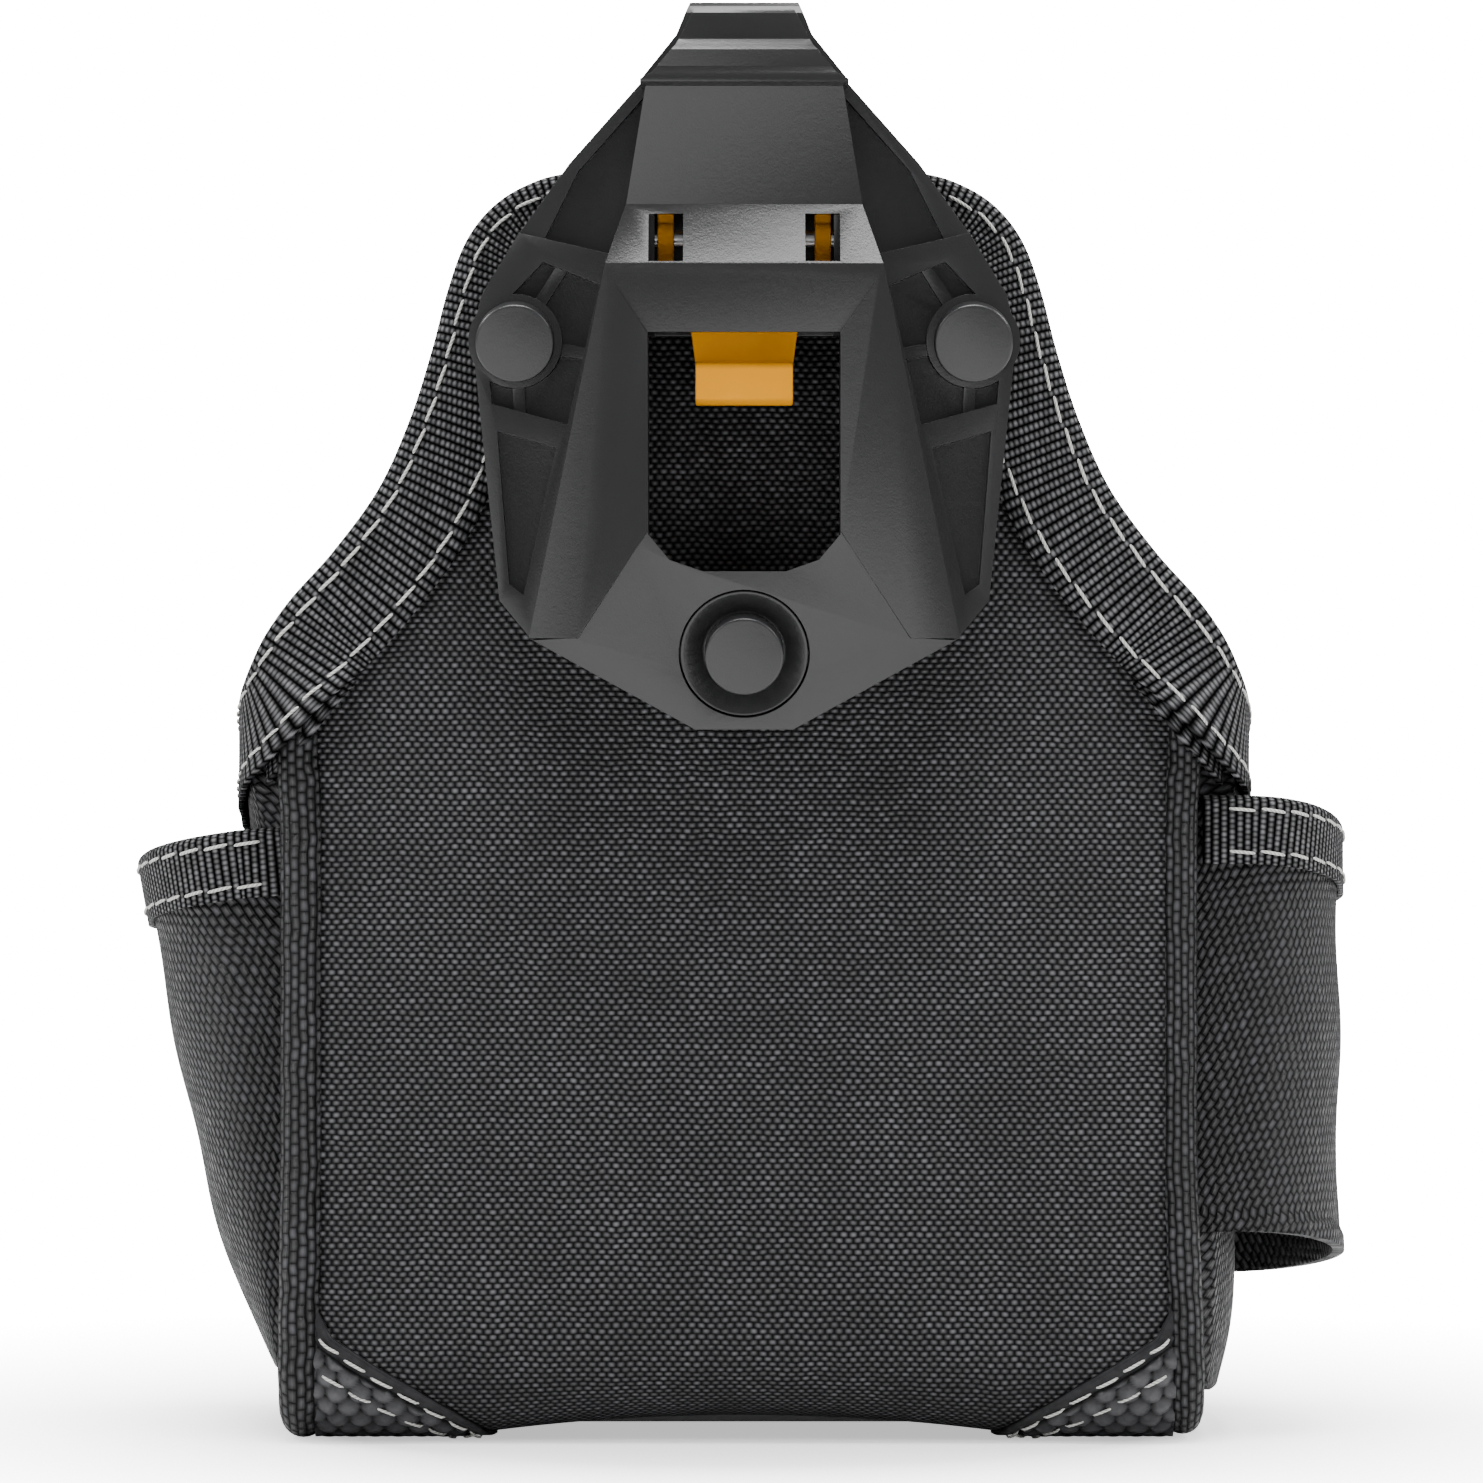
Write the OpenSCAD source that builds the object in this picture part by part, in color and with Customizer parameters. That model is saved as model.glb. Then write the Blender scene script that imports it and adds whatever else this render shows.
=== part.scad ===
// Electrician's tool pouch: a sewn box of woven fabric on a moulded quick-release clip.
// The pouch's own origin is the middle of the floor under it. The clip faces -Y.
// Inside this file depth is counted from the back panel's outer face, then moved by centre_y.

/* [Box] */
// Distance between the centre lines of the two side pipings
pipe_span = 164.8; // [156:1:172]
// Depth of the sewn box, from the back panel to the front panel
box_depth = 84.4; // [80:0.4:90]
// Radius of the bends where the back and front turn under the bottom
bend_r = 15.2; // [14:0.4:16]
// Radius of the piping that joins each side to the box
pipe_r = 4.2; // [3.6:0.1:4.4]

/* [Cloth] */
// Thickness of the woven outer fabric
cloth_t = 1.6; // [1.2:0.1:1.8]
// Thickness of the plastic board in the back panel
board_t = 1.5; // [1:0.1:1.8]
// Thickness of the lining
lining_t = 1; // [0.6:0.1:1.2]
// Thickness of the moulded corner patches
patch_t = 1.2; // [0.8:0.1:1.4]
// Thickness of the binding tape
tape_t = 1.1; // [0.8:0.1:1.3]
// Half of the wide tape, which shows on each face of the mouth
mouth_tape_w = 19; // [16:0.5:20]
// Half of the narrow tape, which shows on each face of a pocket's mouth
pocket_tape_w = 12.7; // [10:0.1:14]

/* [Pockets] */
// How far the closed pocket stands out from the left side at its mouth
left_pocket_rise = 19.4; // [12:0.2:20]
// How far the open tool sleeve stands out from the right side
right_sleeve_rise = 17.6; // [12:0.5:19]
// How far the front pocket stands out from the front panel
front_pocket_rise = 20; // [14:0.5:24]
// How far each webbing tool loop stands out
loop_rise = 9; // [7:0.5:10]

/* [Clip] */
// Height of the clip's lowest edge above the floor
clip_z = 132; // [130:0.5:133]
// Gap between the clip's back and the back panel, which the binding tape fills
clip_gap = 1.4; // [1.2:0.1:1.6]
// Radius of the latch's steel pin
pin_r = 1.5; // [1.3:0.1:1.6]
// Radius of the rivets' shanks
shank_r = 2.4; // [2:0.1:2.6]
// Radius of the rivets' caps
cap_r = 7.2; // [6.4:0.1:7.4]

/* [Hidden] */
$fn = 48;

centre_y = -44.2;
// Height of the lower rivet above the clip's lowest edge
rivet_h = 13.8;
stack_t = cloth_t + board_t + lining_t;
pipe_x = pipe_span / 2;
pipe_y = 3.2;
pipe_bend = 12;
panel_x = pipe_x - pipe_r - 0.3;
mid_y = box_depth / 2;
side_t = 2.4;
slack = 0.25;

CLOTH = "#232326";
TAPE = "#2c2c2e";
PLASTIC = "#2f2f31";
YELLOW = "#f5a21b";
STEEL = "#b9bcc0";
THREAD_GREY = "#3a3a3c";

// The fold line of the mouth's tape on the right half, from the middle of the back to the middle of
// the front: X, Y, Z, and the compass angle that the tape's outer face looks to
mouth_half = [
    [0, 2.05, 235.6, -90], [18, 2.05, 235.6, -90], [33, 2.05, 234.8, -90],
    [41, 2.05, 232.3, -90], [47, 2.05, 228.2, -90], [51.6, 2.05, 222, -90],
    [54.9, 2.05, 213, -90], [57.8, 2.05, 202, -90], [61.8, 2.05, 189.5, -90],
    [67.6, 2.05, 176.6, -90], [76, 2.05, 165, -90], [84, 2.05, 156, -90],
    [88.2, 3.6, 149.5, -66], [89.6, 7.5, 144, -36], [91, 14, 140.2, -14],
    [92, 24, 137.8, -6], [92.4, 36, 135, 0], [92.4, 48, 132.2, 2],
    [92, 60, 129.8, 6], [90.6, 70, 127.8, 16], [87.2, 78, 126.2, 45],
    [80.5, 82.5, 124.8, 74], [72, 83.6, 123.8, 88], [55, 83.6, 123.2, 90],
    [28, 83.6, 123, 90], [0, 83.6, 123, 90]];
// The knots where the tape holds the side panel's top edge
side_knots = [for (i = [14 : 19]) mouth_half[i]];

// ---- helpers ----

function lerp(a, b, t) = a + (b - a) * t;
function last(list) = list[len(list) - 1];
function unit(v) = v / norm(v);
function flip_x(p) = [-p.x, p.y];
function mirrored(right) = concat(right, [for (i = [len(right) - 1 : -1 : 0]) flip_x(right[i])]);

// Extrudes an outline drawn in X and Z from one depth to another
module slab_y(outline, y_from, y_to)
    translate([0, y_to, 0]) rotate([90, 0, 0]) linear_extrude(y_to - y_from) polygon(outline);

// Extrudes an outline drawn in Y and Z from one side to another
module slab_x(outline, x_from, x_to)
    translate([x_from, 0, 0]) rotate([90, 0, 90]) linear_extrude(x_to - x_from) polygon(outline);

// A round bar along Y
module bar_y(x, z, r, y_from, y_to)
    translate([x, y_to, z]) rotate([90, 0, 0]) cylinder(r = r, h = y_to - y_from);

// A round bar along X
module bar_x(y, z, r, x_from, x_to)
    translate([x_from, y, z]) rotate([0, 90, 0]) cylinder(r = r, h = x_to - x_from);

module both_sides() {
    children();
    mirror([1, 0, 0]) children();
}

// A closed sheet between two grids of points that have the same rows and columns
module sheet(outer, inner) {
    rows = len(outer);
    cols = len(outer[0]);
    n = rows * cols;
    function at(i, j) = i * cols + j;
    edge = concat([for (j = [0 : cols - 1]) at(0, j)], [for (i = [1 : rows - 1]) at(i, cols - 1)],
        [for (j = [cols - 2 : -1 : 0]) at(rows - 1, j)], [for (i = [rows - 2 : -1 : 1]) at(i, 0)]);
    polyhedron(
        points = concat([for (r = outer) each r], [for (r = inner) each r]),
        faces = concat(
            [for (i = [0 : rows - 2]) for (j = [0 : cols - 2]) each [
                [at(i, j), at(i + 1, j), at(i + 1, j + 1)], [at(i, j), at(i + 1, j + 1), at(i, j + 1)],
                [n + at(i, j), n + at(i + 1, j + 1), n + at(i + 1, j)],
                [n + at(i, j), n + at(i, j + 1), n + at(i + 1, j + 1)]]],
            [for (k = [0 : len(edge) - 1]) let (a = edge[k], b = edge[(k + 1) % len(edge)])
                each [[a, b, n + b], [a, n + b, n + a]]]));
}

// A solid through rings of points, closed on itself or with a flat cap at each end
module loft(rings, ring_closed = false) {
    m = len(rings[0]);
    n = len(rings);
    spans = ring_closed ? n : n - 1;
    polyhedron(
        points = [for (r = rings) each r],
        faces = concat(
            [for (i = [0 : spans - 1]) for (j = [0 : m - 1])
                let (a = i * m + j, b = i * m + (j + 1) % m,
                    c = ((i + 1) % n) * m + (j + 1) % m, d = ((i + 1) % n) * m + j)
                each [[a, b, c], [a, c, d]]],
            ring_closed ? [] : [[for (j = [m - 1 : -1 : 0]) j], [for (j = [0 : m - 1]) (n - 1) * m + j]]));
}

// The folded tape's section: outward from the wall, and inward from the fold line
function tape_section(width, half_gap) = let (o = half_gap + tape_t) [
    [o, width], [o, 0.6], [half_gap, 0], [-half_gap, 0], [-o, 0.6], [-o, width],
    [-half_gap, width], [-half_gap, 1.3], [half_gap, 1.3], [half_gap, width]];

// One ring of folded tape at p, with tangent t and the way into the tape's width
function tape_ring(p, t, into, width, half_gap) =
    let (face = unit(cross(into, t)))
    [for (s = tape_section(width, half_gap)) p + face * s.x + into * s.y];

// ---- the mouth and the sides ----

side_rise = [[4, 0.5], [12, 2], [20, 4.5], [45, 8.6], [137, 9.1]];
side_y0 = pipe_y + pipe_r + 0.2;
side_y1 = box_depth - side_y0;

// Middle of a side panel, which swells between its two pipings
function side_mid(y, z) =
    let (u = (y - side_y0 + 1.2) / (side_y1 - side_y0 + 2.4), e = lookup(z, [[20, 0.6], [112, 0.48], [137, 0.2]]))
    pipe_x + 0.5 + lookup(z, side_rise) * pow(sin(180 * u), e);
// Lowest edge of a side panel, which follows the piping's round corners
function side_low(y) = let (r = pipe_bend - pipe_r - 0.2, c = pipe_y + pipe_bend,
    d = max(0, c - y, y - box_depth + c))
    pipe_r + pipe_bend - sqrt(max(0, r * r - d * d)) + 0.2;

// The mouth's fold line follows the side panels between the side knots
mouth_right = [for (q = mouth_half) q.y < side_knots[0].y || q.y > last(side_knots).y ? q
    : [side_mid(q.y, q.z), q.y, q.z, q[3]]];
mouth_loop = concat(mouth_right, [for (i = [len(mouth_right) - 2 : -1 : 1])
    let (q = mouth_right[i]) [-q.x, q.y, q.z, 180 - q[3]]]);
function mouth_at(i) = let (n = len(mouth_loop), q = mouth_loop[(i + n) % n]) [q.x, q.y, q.z];
function mouth_way(i) = unit(mouth_at(i + 1) - mouth_at(i - 1));
// The way down a side panel from its top edge, on the side that x is on
function side_way(x, y, z) =
    unit([(side_mid(y, z - mouth_tape_w) - side_mid(y, z)) * sign(x), 0, -mouth_tape_w]);
function mouth_into(i) = let (a = mouth_loop[i][3], t = mouth_way(i), p = mouth_at(i),
    w = side_way(p.x, p.y, p.z), on_side = p.y >= side_knots[0].y && p.y <= last(side_knots).y)
    on_side ? unit(w - t * (w * t)) : unit(cross(t, [cos(a), sin(a), 0]));
function mouth_gap(y) = lerp(stack_t / 2 + 0.1, side_t / 2 + 0.6, min(1, max(0, (y - 2.2) / 8)));
// The fold line, moved into the cloth by the depth of the fold
function cloth_edge(i) = mouth_at(i) + mouth_into(i) * 2.2;

// A side panel's top edge drops below the tape where the tape turns the corners
side_top = concat([[0, 120.5], [side_knots[0].y, 120.5]],
    [for (i = [0 : len(side_knots) - 2]) let (q = side_knots[i]) [q.y + (i == 0 ? 2.5 : 0), q.z - 2.6]],
    [[last(side_knots).y - 4.5, last(side_knots).z - 2], [last(side_knots).y - 3, 106], [box_depth, 106]]);

module side_panel() {
    function grid(offset) = [for (i = [0 : 12]) [for (j = [0 : 18])
        let (y = lerp(side_y0, side_y1, (1 - cos(180 * j / 18)) / 2),
            z = lerp(side_low(y), lookup(y, side_top), i / 12))
        [side_mid(y, z) + offset, y, z]]];
    sheet(grid(side_t / 2), grid(-side_t / 2));
}

// ---- the sewn box ----

back_right = [for (i = [10 : -1 : 1]) let (p = cloth_edge(i)) [p.x, p.z]];
// The panels are cut back where the tape leaves them to turn the corner
corner_cut = [[panel_x, 133.4], [67.6, 143.6], [panel_x - 0.4, 152]];
back_outline = mirrored(concat([[panel_x, bend_r + patch_t]], corner_cut, back_right));
lining_outline = mirrored(concat([[panel_x, 12.6]], corner_cut, back_right));
front_top = mouth_half[len(mouth_half) - 1].z - 2.2;
front_outline = mirrored([[panel_x, bend_r + patch_t], [panel_x, 100], [72, 104], [72, front_top]]);
upper_rivet = [41.9, clip_z + 71.1];
lower_rivet_z = clip_z + rivet_h;

// The fabric's quarter bend under the box, between two radii
module bend(r_in, r_out)
    intersection() {
        difference() {
            bar_x(bend_r, bend_r + patch_t, r_out, -panel_x, panel_x);
            bar_x(bend_r, bend_r + patch_t, r_in, -panel_x - 1, panel_x + 1);
        }
        translate([-panel_x, bend_r - r_out, patch_t + bend_r - r_out])
            cube([2 * panel_x, r_out, r_out]);
    }

// Everything on the front is the back's mirror image across the middle of the box
module at_front() translate([0, box_depth, 0]) mirror([0, 1, 0]) children();

module rivet_holes(r) {
    both_sides() bar_y(upper_rivet.x, upper_rivet.y, r, -12, 12);
    bar_y(0, lower_rivet_z, r, -12, 12);
}

module back_panel() color(CLOTH) {
    difference() {
        slab_y(back_outline, 0, cloth_t);
        rivet_holes(shank_r + 0.1);
    }
    bend(bend_r - cloth_t, bend_r);
}

module back_board() color(THREAD_GREY)
    difference() {
        slab_y(back_outline, cloth_t, cloth_t + board_t);
        rivet_holes(shank_r + 0.1);
    }

module back_lining() color(CLOTH)
    difference() {
        slab_y(lining_outline, cloth_t + board_t, stack_t);
        rivet_holes(shank_r + 0.1);
    }

module front_panel() color(CLOTH)
    at_front() {
        slab_y(front_outline, 0, cloth_t);
        bend(bend_r - cloth_t, bend_r);
    }

module bottom_panel() color(CLOTH)
    translate([-panel_x, bend_r, patch_t]) cube([2 * panel_x, box_depth - 2 * bend_r, cloth_t]);

module bottom_board() color(THREAD_GREY)
    translate([-panel_x + 1, bend_r + 0.4, patch_t + cloth_t])
        cube([2 * panel_x - 2, box_depth - 2 * bend_r - 0.8, 2]);

module right_side_panel() color(CLOTH) side_panel();
module left_side_panel() color(CLOTH) mirror([1, 0, 0]) side_panel();

// The piping runs down the back edge, under the box and up the front edge
module piping() {
    back_top = 120.5;
    front_piping_top = 101.5;
    module corner() translate([0, pipe_y + pipe_bend, pipe_r + pipe_bend]) rotate([0, 90, 0])
        rotate([0, 0, -90]) rotate_extrude(angle = 90) translate([pipe_bend, 0]) circle(pipe_r);
    translate([pipe_x, 0, 0]) {
        translate([0, pipe_y, pipe_r + pipe_bend]) cylinder(r = pipe_r, h = back_top - pipe_r - pipe_bend);
        translate([0, box_depth - pipe_y, pipe_r + pipe_bend])
            cylinder(r = pipe_r, h = front_piping_top - pipe_r - pipe_bend);
        translate([0, pipe_y + pipe_bend, pipe_r]) rotate([-90, 0, 0])
            cylinder(r = pipe_r, h = box_depth - 2 * (pipe_y + pipe_bend));
        corner();
        at_front() corner();
    }
}
module right_piping() color(CLOTH) piping();
module left_piping() color(CLOTH) mirror([1, 0, 0]) piping();

module mouth_binding() color(TAPE)
    difference() {
        loft([for (i = [0 : len(mouth_loop) - 1])
            tape_ring(mouth_at(i), mouth_way(i), mouth_into(i), mouth_tape_w,
                mouth_gap(mouth_loop[i].y))], ring_closed = true);
        rivet_holes(shank_r + 0.1);
    }

// A patch on one lower corner: up the back, round the bend and under the box
module corner_patch() {
    seam_x = panel_x - 31;
    rise = [[panel_x, 0], [panel_x, 23], [panel_x - 2, 19.8], [panel_x - 9, 15.2], [panel_x - 17, 10.5],
        [panel_x - 24.5, 6], [panel_x - 29, 3], [seam_x - 3, 0]];
    intersection() {
        union() {
            translate([0, -patch_t, bend_r + patch_t]) cube([panel_x, patch_t, 30]);
            bend(bend_r, bend_r + patch_t);
        }
        slab_y(rise, -10, 30);
    }
    translate([0, bend_r, 0]) linear_extrude(patch_t)
        polygon([[panel_x, 0], [panel_x, 14], [panel_x - 12, 8], [seam_x - 3, 0]]);
}
module back_corner_patches() color(PLASTIC) both_sides() corner_patch();
module front_corner_patches() color(PLASTIC) at_front() both_sides() corner_patch();

// ---- the pockets ----

pocket_half = 34.4;
// Where a pocket's arc is measured, closer together near its ends
arc = [0, 2.5, 6, 11, 18, 27, 38, 50, 62, 76, 90, 104, 118, 130, 142, 153, 162, 169, 174, 177.5, 180];
tape_gap = cloth_t / 2 + 0.35;
function pocket_y(a) = mid_y - pocket_half * cos(a);
function slope_down(z_back, drop, y) = z_back - drop * (y - 7) / 70;

// The inner face of a side pocket at arc angle a and height z
function pocket_at(a, z, rise, e) = let (y = pocket_y(a))
    [side_mid(y, z) + side_t / 2 + slack + rise * pow(sin(a), e), y, z];

// Left: closed at its foot. Right: open at both ends
left_foot = 13.5;
left_mouth = 114.3;
left_drop = 8;
left_sag = 2.6;
left_e = 0.62;
// The left pocket's mouth sags as far as it stands out
function left_z(a) = slope_down(left_mouth, left_drop, pocket_y(a)) - left_sag * pow(sin(a), left_e);
function left_at(a, z) = let (foot = max(left_foot, side_low(pocket_y(a))))
    pocket_at(a, z, left_pocket_rise * pow(max(0, z - foot) / (left_z(a) - foot), 0.85), left_e);
module left_pocket_cloth() {
    rows = 14;
    function grid(t) = [for (i = [0 : rows]) [for (a = arc)
        let (foot = max(left_foot, side_low(pocket_y(a))), z = lerp(foot, left_z(a) - 1.8, i / rows))
        left_at(a, z) + [t, 0, 0]]];
    sheet(grid(cloth_t), grid(0));
}
module left_pocket() color(CLOTH) mirror([1, 0, 0]) left_pocket_cloth();

sleeve_mouth = 120;
sleeve_foot = 39;
sleeve_drop = 13;
sleeve_e = 0.55;
function sleeve_z(a, z_back) = slope_down(z_back, sleeve_drop, pocket_y(a));
function sleeve_at(a, z) = pocket_at(a, z, right_sleeve_rise + (sleeve_mouth - z) * 0.01, sleeve_e);
module sleeve_cloth() {
    rows = 12;
    function grid(t) = [for (i = [0 : rows]) [for (a = arc)
        sleeve_at(a, lerp(sleeve_z(a, sleeve_foot), sleeve_z(a, sleeve_mouth) - 1.8, i / rows))
            + [t, 0, 0]]];
    sheet(grid(cloth_t), grid(0));
}
module right_tool_sleeve() color(CLOTH) sleeve_cloth();

// Folded tape through the fold points of a pocket's mouth and the points under them
module pocket_tape(top, low) {
    n = len(top) - 1;
    loft([for (i = [0 : n])
        let (t = unit(top[min(i + 1, n)] - top[max(i - 1, 0)]), lean = low[i] - top[i],
            into = unit(lean - t * (lean * t)))
        tape_ring(top[i], t, into, pocket_tape_w, tape_gap)]);
}
mid_cloth = [cloth_t / 2, 0, 0];
tape_arc = [for (i = [1 : len(arc) - 2]) arc[i]];
module left_pocket_binding() color(TAPE) mirror([1, 0, 0])
    pocket_tape([for (a = tape_arc) left_at(a, left_z(a)) + mid_cloth],
        [for (a = tape_arc) left_at(a, left_z(a) - pocket_tape_w) + mid_cloth]);
module right_sleeve_binding() color(TAPE)
    pocket_tape([for (a = tape_arc) let (z = sleeve_z(a, sleeve_mouth)) sleeve_at(a, z) + mid_cloth],
        [for (a = tape_arc) let (z = sleeve_z(a, sleeve_mouth) - pocket_tape_w)
            sleeve_at(a, z) + mid_cloth]);

front_half = 62;
front_mouth_z = 74;
front_foot = 18;
// The mouth dips in the middle
function front_z(a) = front_mouth_z - 3 * pow(sin(a), 2);
function front_at(a, z) = let (v = max(0, z - front_foot) / (front_z(a) - front_foot))
    [front_half * cos(a), box_depth + slack + front_pocket_rise * pow(v, 0.7) * pow(sin(a), 0.75), z];
module front_pocket_cloth() {
    rows = 10;
    function grid(t) = [for (i = [0 : rows]) [for (a = arc)
        front_at(a, lerp(front_foot, front_z(a) - 1.8, i / rows)) + [0, t, 0]]];
    sheet(grid(cloth_t), grid(0));
}
module front_pocket() color(CLOTH) front_pocket_cloth();
module front_pocket_binding() color(TAPE)
    pocket_tape([for (a = tape_arc) front_at(a, front_z(a)) + [0, cloth_t / 2, 0]],
        [for (a = tape_arc) front_at(a, front_z(a) - pocket_tape_w) + [0, cloth_t / 2, 0]]);

// A row of arched webbing loops, sewn flat between the arches
module loop_row(count, pitch, height) {
    t = 1.4;
    arch = 0.66 * pitch;
    steps = 12;
    half = count * pitch / 2;
    function arch_line(k, grow) = [for (i = [0 : steps]) let (a = 180 * i / steps)
        [(k + 0.5) * pitch - half - (arch / 2 + grow) * cos(a),
            max(grow, (loop_rise - t + grow) * pow(sin(a), 0.7))]];
    function turned(list) = [for (i = [len(list) - 1 : -1 : 0]) list[i]];
    linear_extrude(height) polygon(concat(
        [[-half, 0]], [for (k = [0 : count - 1]) each arch_line(k, 0)], [[half, 0], [half, t]],
        [for (k = [count - 1 : -1 : 0]) each turned(arch_line(k, t))], [[-half, t]]));
}
module front_tool_loops() color(TAPE)
    translate([0, box_depth + 0.02, 81]) loop_row(4, 34, 20);
module inner_tool_loops() color(TAPE)
    translate([0, stack_t + 0.02, 96]) loop_row(3, 36, 25.4);

// ---- the clip; its parts are drawn from the clip's own lowest edge and back face ----

pivot = [-6.5, 90];
liner_t = 2;
wing_y = -9.4;
floor_y = -4.8;
// The nose leans: its face is deeper at its foot than under the window
nose_low = -8.2;
nose_high = -17.2;
nose_lean = atan((nose_low - nose_high) / 37.4);
nose_y = lerp(nose_low, nose_high, (rivet_h + 1) / 37.4);
// How deep the lower rivet's dish is seated, and how far the upper caps lean
dish_seat = 4.4;
cap_lean = 12;
frame_y = -17.5;
plate_right = [[9, 0], [38.9, 16.4], [44.8, 23.6], [48.6, 60], [49.7, 71], [48.2, 79.3],
    [41.2, 90.9], [32.1, 103.6], [19, 118.4], [12.4, 126.6], [9.9, 132.7]];
liner_right = [[8.4, 1.4], [38, 17.4], [43.6, 24.4], [47.2, 60], [48.2, 71], [46.8, 78.6],
    [39.8, 90.4], [32.6, 102.4]];
window = mirrored([[7.6, 28.8], [13.6, 30.9], [17.5, 35.5], [17.5, 72.4]]);
wing_right = [[38.2, 16.4], [38.9, 16.4], [44.8, 23.6], [48.6, 60], [49.7, 71], [48.2, 79.3],
    [41.2, 90.9], [22.6, 86.6]];
rivet_pocket = [[36.8, 85.6], [26.4, 81.4], [32.4, 55.8], [46.2, 59.6], [47.2, 70], [45.4, 76.6]];
lower_pocket = [[45.2, 54.6], [34.4, 51.6], [40.4, 24.6], [43, 26.6]];
cheek_rim = [[41.2, 90.9], [32.1, 103.6], [19, 118.4], [17.5, 116.8], [30.4, 102.3], [37.2, 88.6]];

module place_clip() translate([0, -clip_gap, clip_z]) children();
// The lower rivet's place, turned so that -Y is straight out of the nose's face
module on_nose() translate([0, nose_y, rivet_h]) rotate([nose_lean, 0, 0]) children();

// The lever's room inside the plate, open to the back above the pouch's edge
module lever_room() intersection() {
    slab_x([[1, 72.2], [-14.4, 72.2], [-14.4, 84], [-9.9, 94.4], [-9.9, 96.8], [-13.2, 118],
        [-13.2, 123.2], [12, 123.2], [12, 72.2]], -30, 30);
    slab_y(mirrored([[16.4, 70], [16.4, 98], [12.4, 110], [12.4, 125]]), -20, 12);
}

// The webs that tie a rivet boss to the walls of its pocket
module boss_webs() {
    c = [41.9, 71.1];
    for (to = [[31.6, 87.4], [26.5, 68.4], [41, 56.6]])
        let (d = to - c, w = [-d.y, d.x] / norm(d) * 1.1)
            slab_y([c + w, c - w, to - w, to + w], floor_y - 2.6, -liner_t);
}

// One side wing: a raised rim round two pockets, with the rivet's boss in the upper one
module wing() {
    difference() {
        slab_y(wing_right, wing_y, -liner_t);
        slab_y(rivet_pocket, -30, floor_y);
        slab_y(lower_pocket, -30, floor_y - 1);
    }
    bar_y(41.9, 71.1, 8.6, wing_y, -liner_t);
    intersection() {
        boss_webs();
        slab_y(wing_right, -20, 0);
    }
}

// A body whose outline from the front is one shape and from the side another
module two_way(front, side) intersection() {
    slab_y(mirrored(front), -30, 12);
    slab_x(side, -50, 50);
}

// Front faces: the nose below the window, the frame round it, the band, the panel and the hook
module front_faces() {
    two_way([[9, 0], [38.6, 16.3], [30.6, 16.7], [17.3, 36.4]],
        [[-2, -1], [nose_low, -1], [nose_high, 36.4], [-2, 36.4]]);
    difference() {
        slab_y(mirrored([[39.2, 16.6], [25.3, 84.8]]), frame_y, -liner_t);
        slab_y(mirrored([[30.7, 16], [17.3, 36.5]]), frame_y - 1, 0);
        two_way([[17.6, 72], [24.2, 82]],
            [[frame_y - 1, 82.5], [frame_y, 82.5], [frame_y + 1.3, 72], [frame_y + 1.3, 71],
                [frame_y - 1, 71]]);
    }
    two_way([[25.3, 84.8], [21.6, 96], [18, 117.4]],
        [[-2, 84.8], [frame_y, 84.8], [-11.2, 96], [-15.2, 117.4], [-2, 117.4]]);
    two_way([[19, 117.3], [19, 118.4], [12.4, 126.6], [9.9, 132.7]],
        [[-2, 117.3], [-14.8, 117.3], [-15, 130.6], [-14.2, 131.9], [-12.8, 132.7], [0, 132.7],
            [4.6, 131.4], [6.4, 128.6], [6.4, 123.2], [-2, 123.2]]);
    two_way([[19, 117.2], [19, 118.4], [16.8, 119.6], [12.6, 124.6], [9, 131.4]],
        [[-9, 117.2], [-15, 117.2], [-17.2, 117.9], [-17.4, 119.2], [-17, 120.7], [-17.7, 123.7],
            [-15.2, 125.8], [-15.5, 129], [-15.3, 130.6], [-14.5, 131.4], [-9, 131.4]]);
}

module clip_plate() color(PLASTIC) place_clip()
    difference() {
        union() {
            slab_y(mirrored(plate_right), floor_y, -liner_t);
            both_sides() wing();
            both_sides() slab_y(cheek_rim, -8.4, -liner_t);
            front_faces();
        }
        slab_y(window, -30, 0);
        lever_room();
        both_sides() translate([14.3 - 3.15, -30, 85.2]) cube([6.3, 20.6, 9]);
        both_sides() bar_y(41.9, 71.1, shank_r + 0.1, -30, 0);
        bar_y(0, rivet_h, shank_r + 0.1, -30, 0);
        on_nose() bar_y(0, 0, 12, -20, dish_seat);
        both_sides() bar_x(pivot.x, pivot.y, pin_r + 0.02, 16, 19.6);
        both_sides() translate([16, pivot.x, pivot.y - pin_r - 0.02]) cube([3.6, 6, 2 * pin_r + 0.04]);
    }

// The liner closes the plate's back and its two ribs hold the latch's pin in its seats
module clip_liner() color(PLASTIC) place_clip() {
    difference() {
        slab_y(mirrored(liner_right), -liner_t, 0);
        slab_y(window, -30, 1);
        both_sides() bar_y(41.9, 71.1, shank_r + 0.1, -30, 1);
        bar_y(0, rivet_h, shank_r + 0.1, -30, 1);
    }
    both_sides() translate([16.4, pivot.x + pin_r + 0.03, pivot.y - 1.2])
        cube([2.8, -liner_t - pivot.x - pin_r - 0.03, 2.4]);
}

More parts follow.
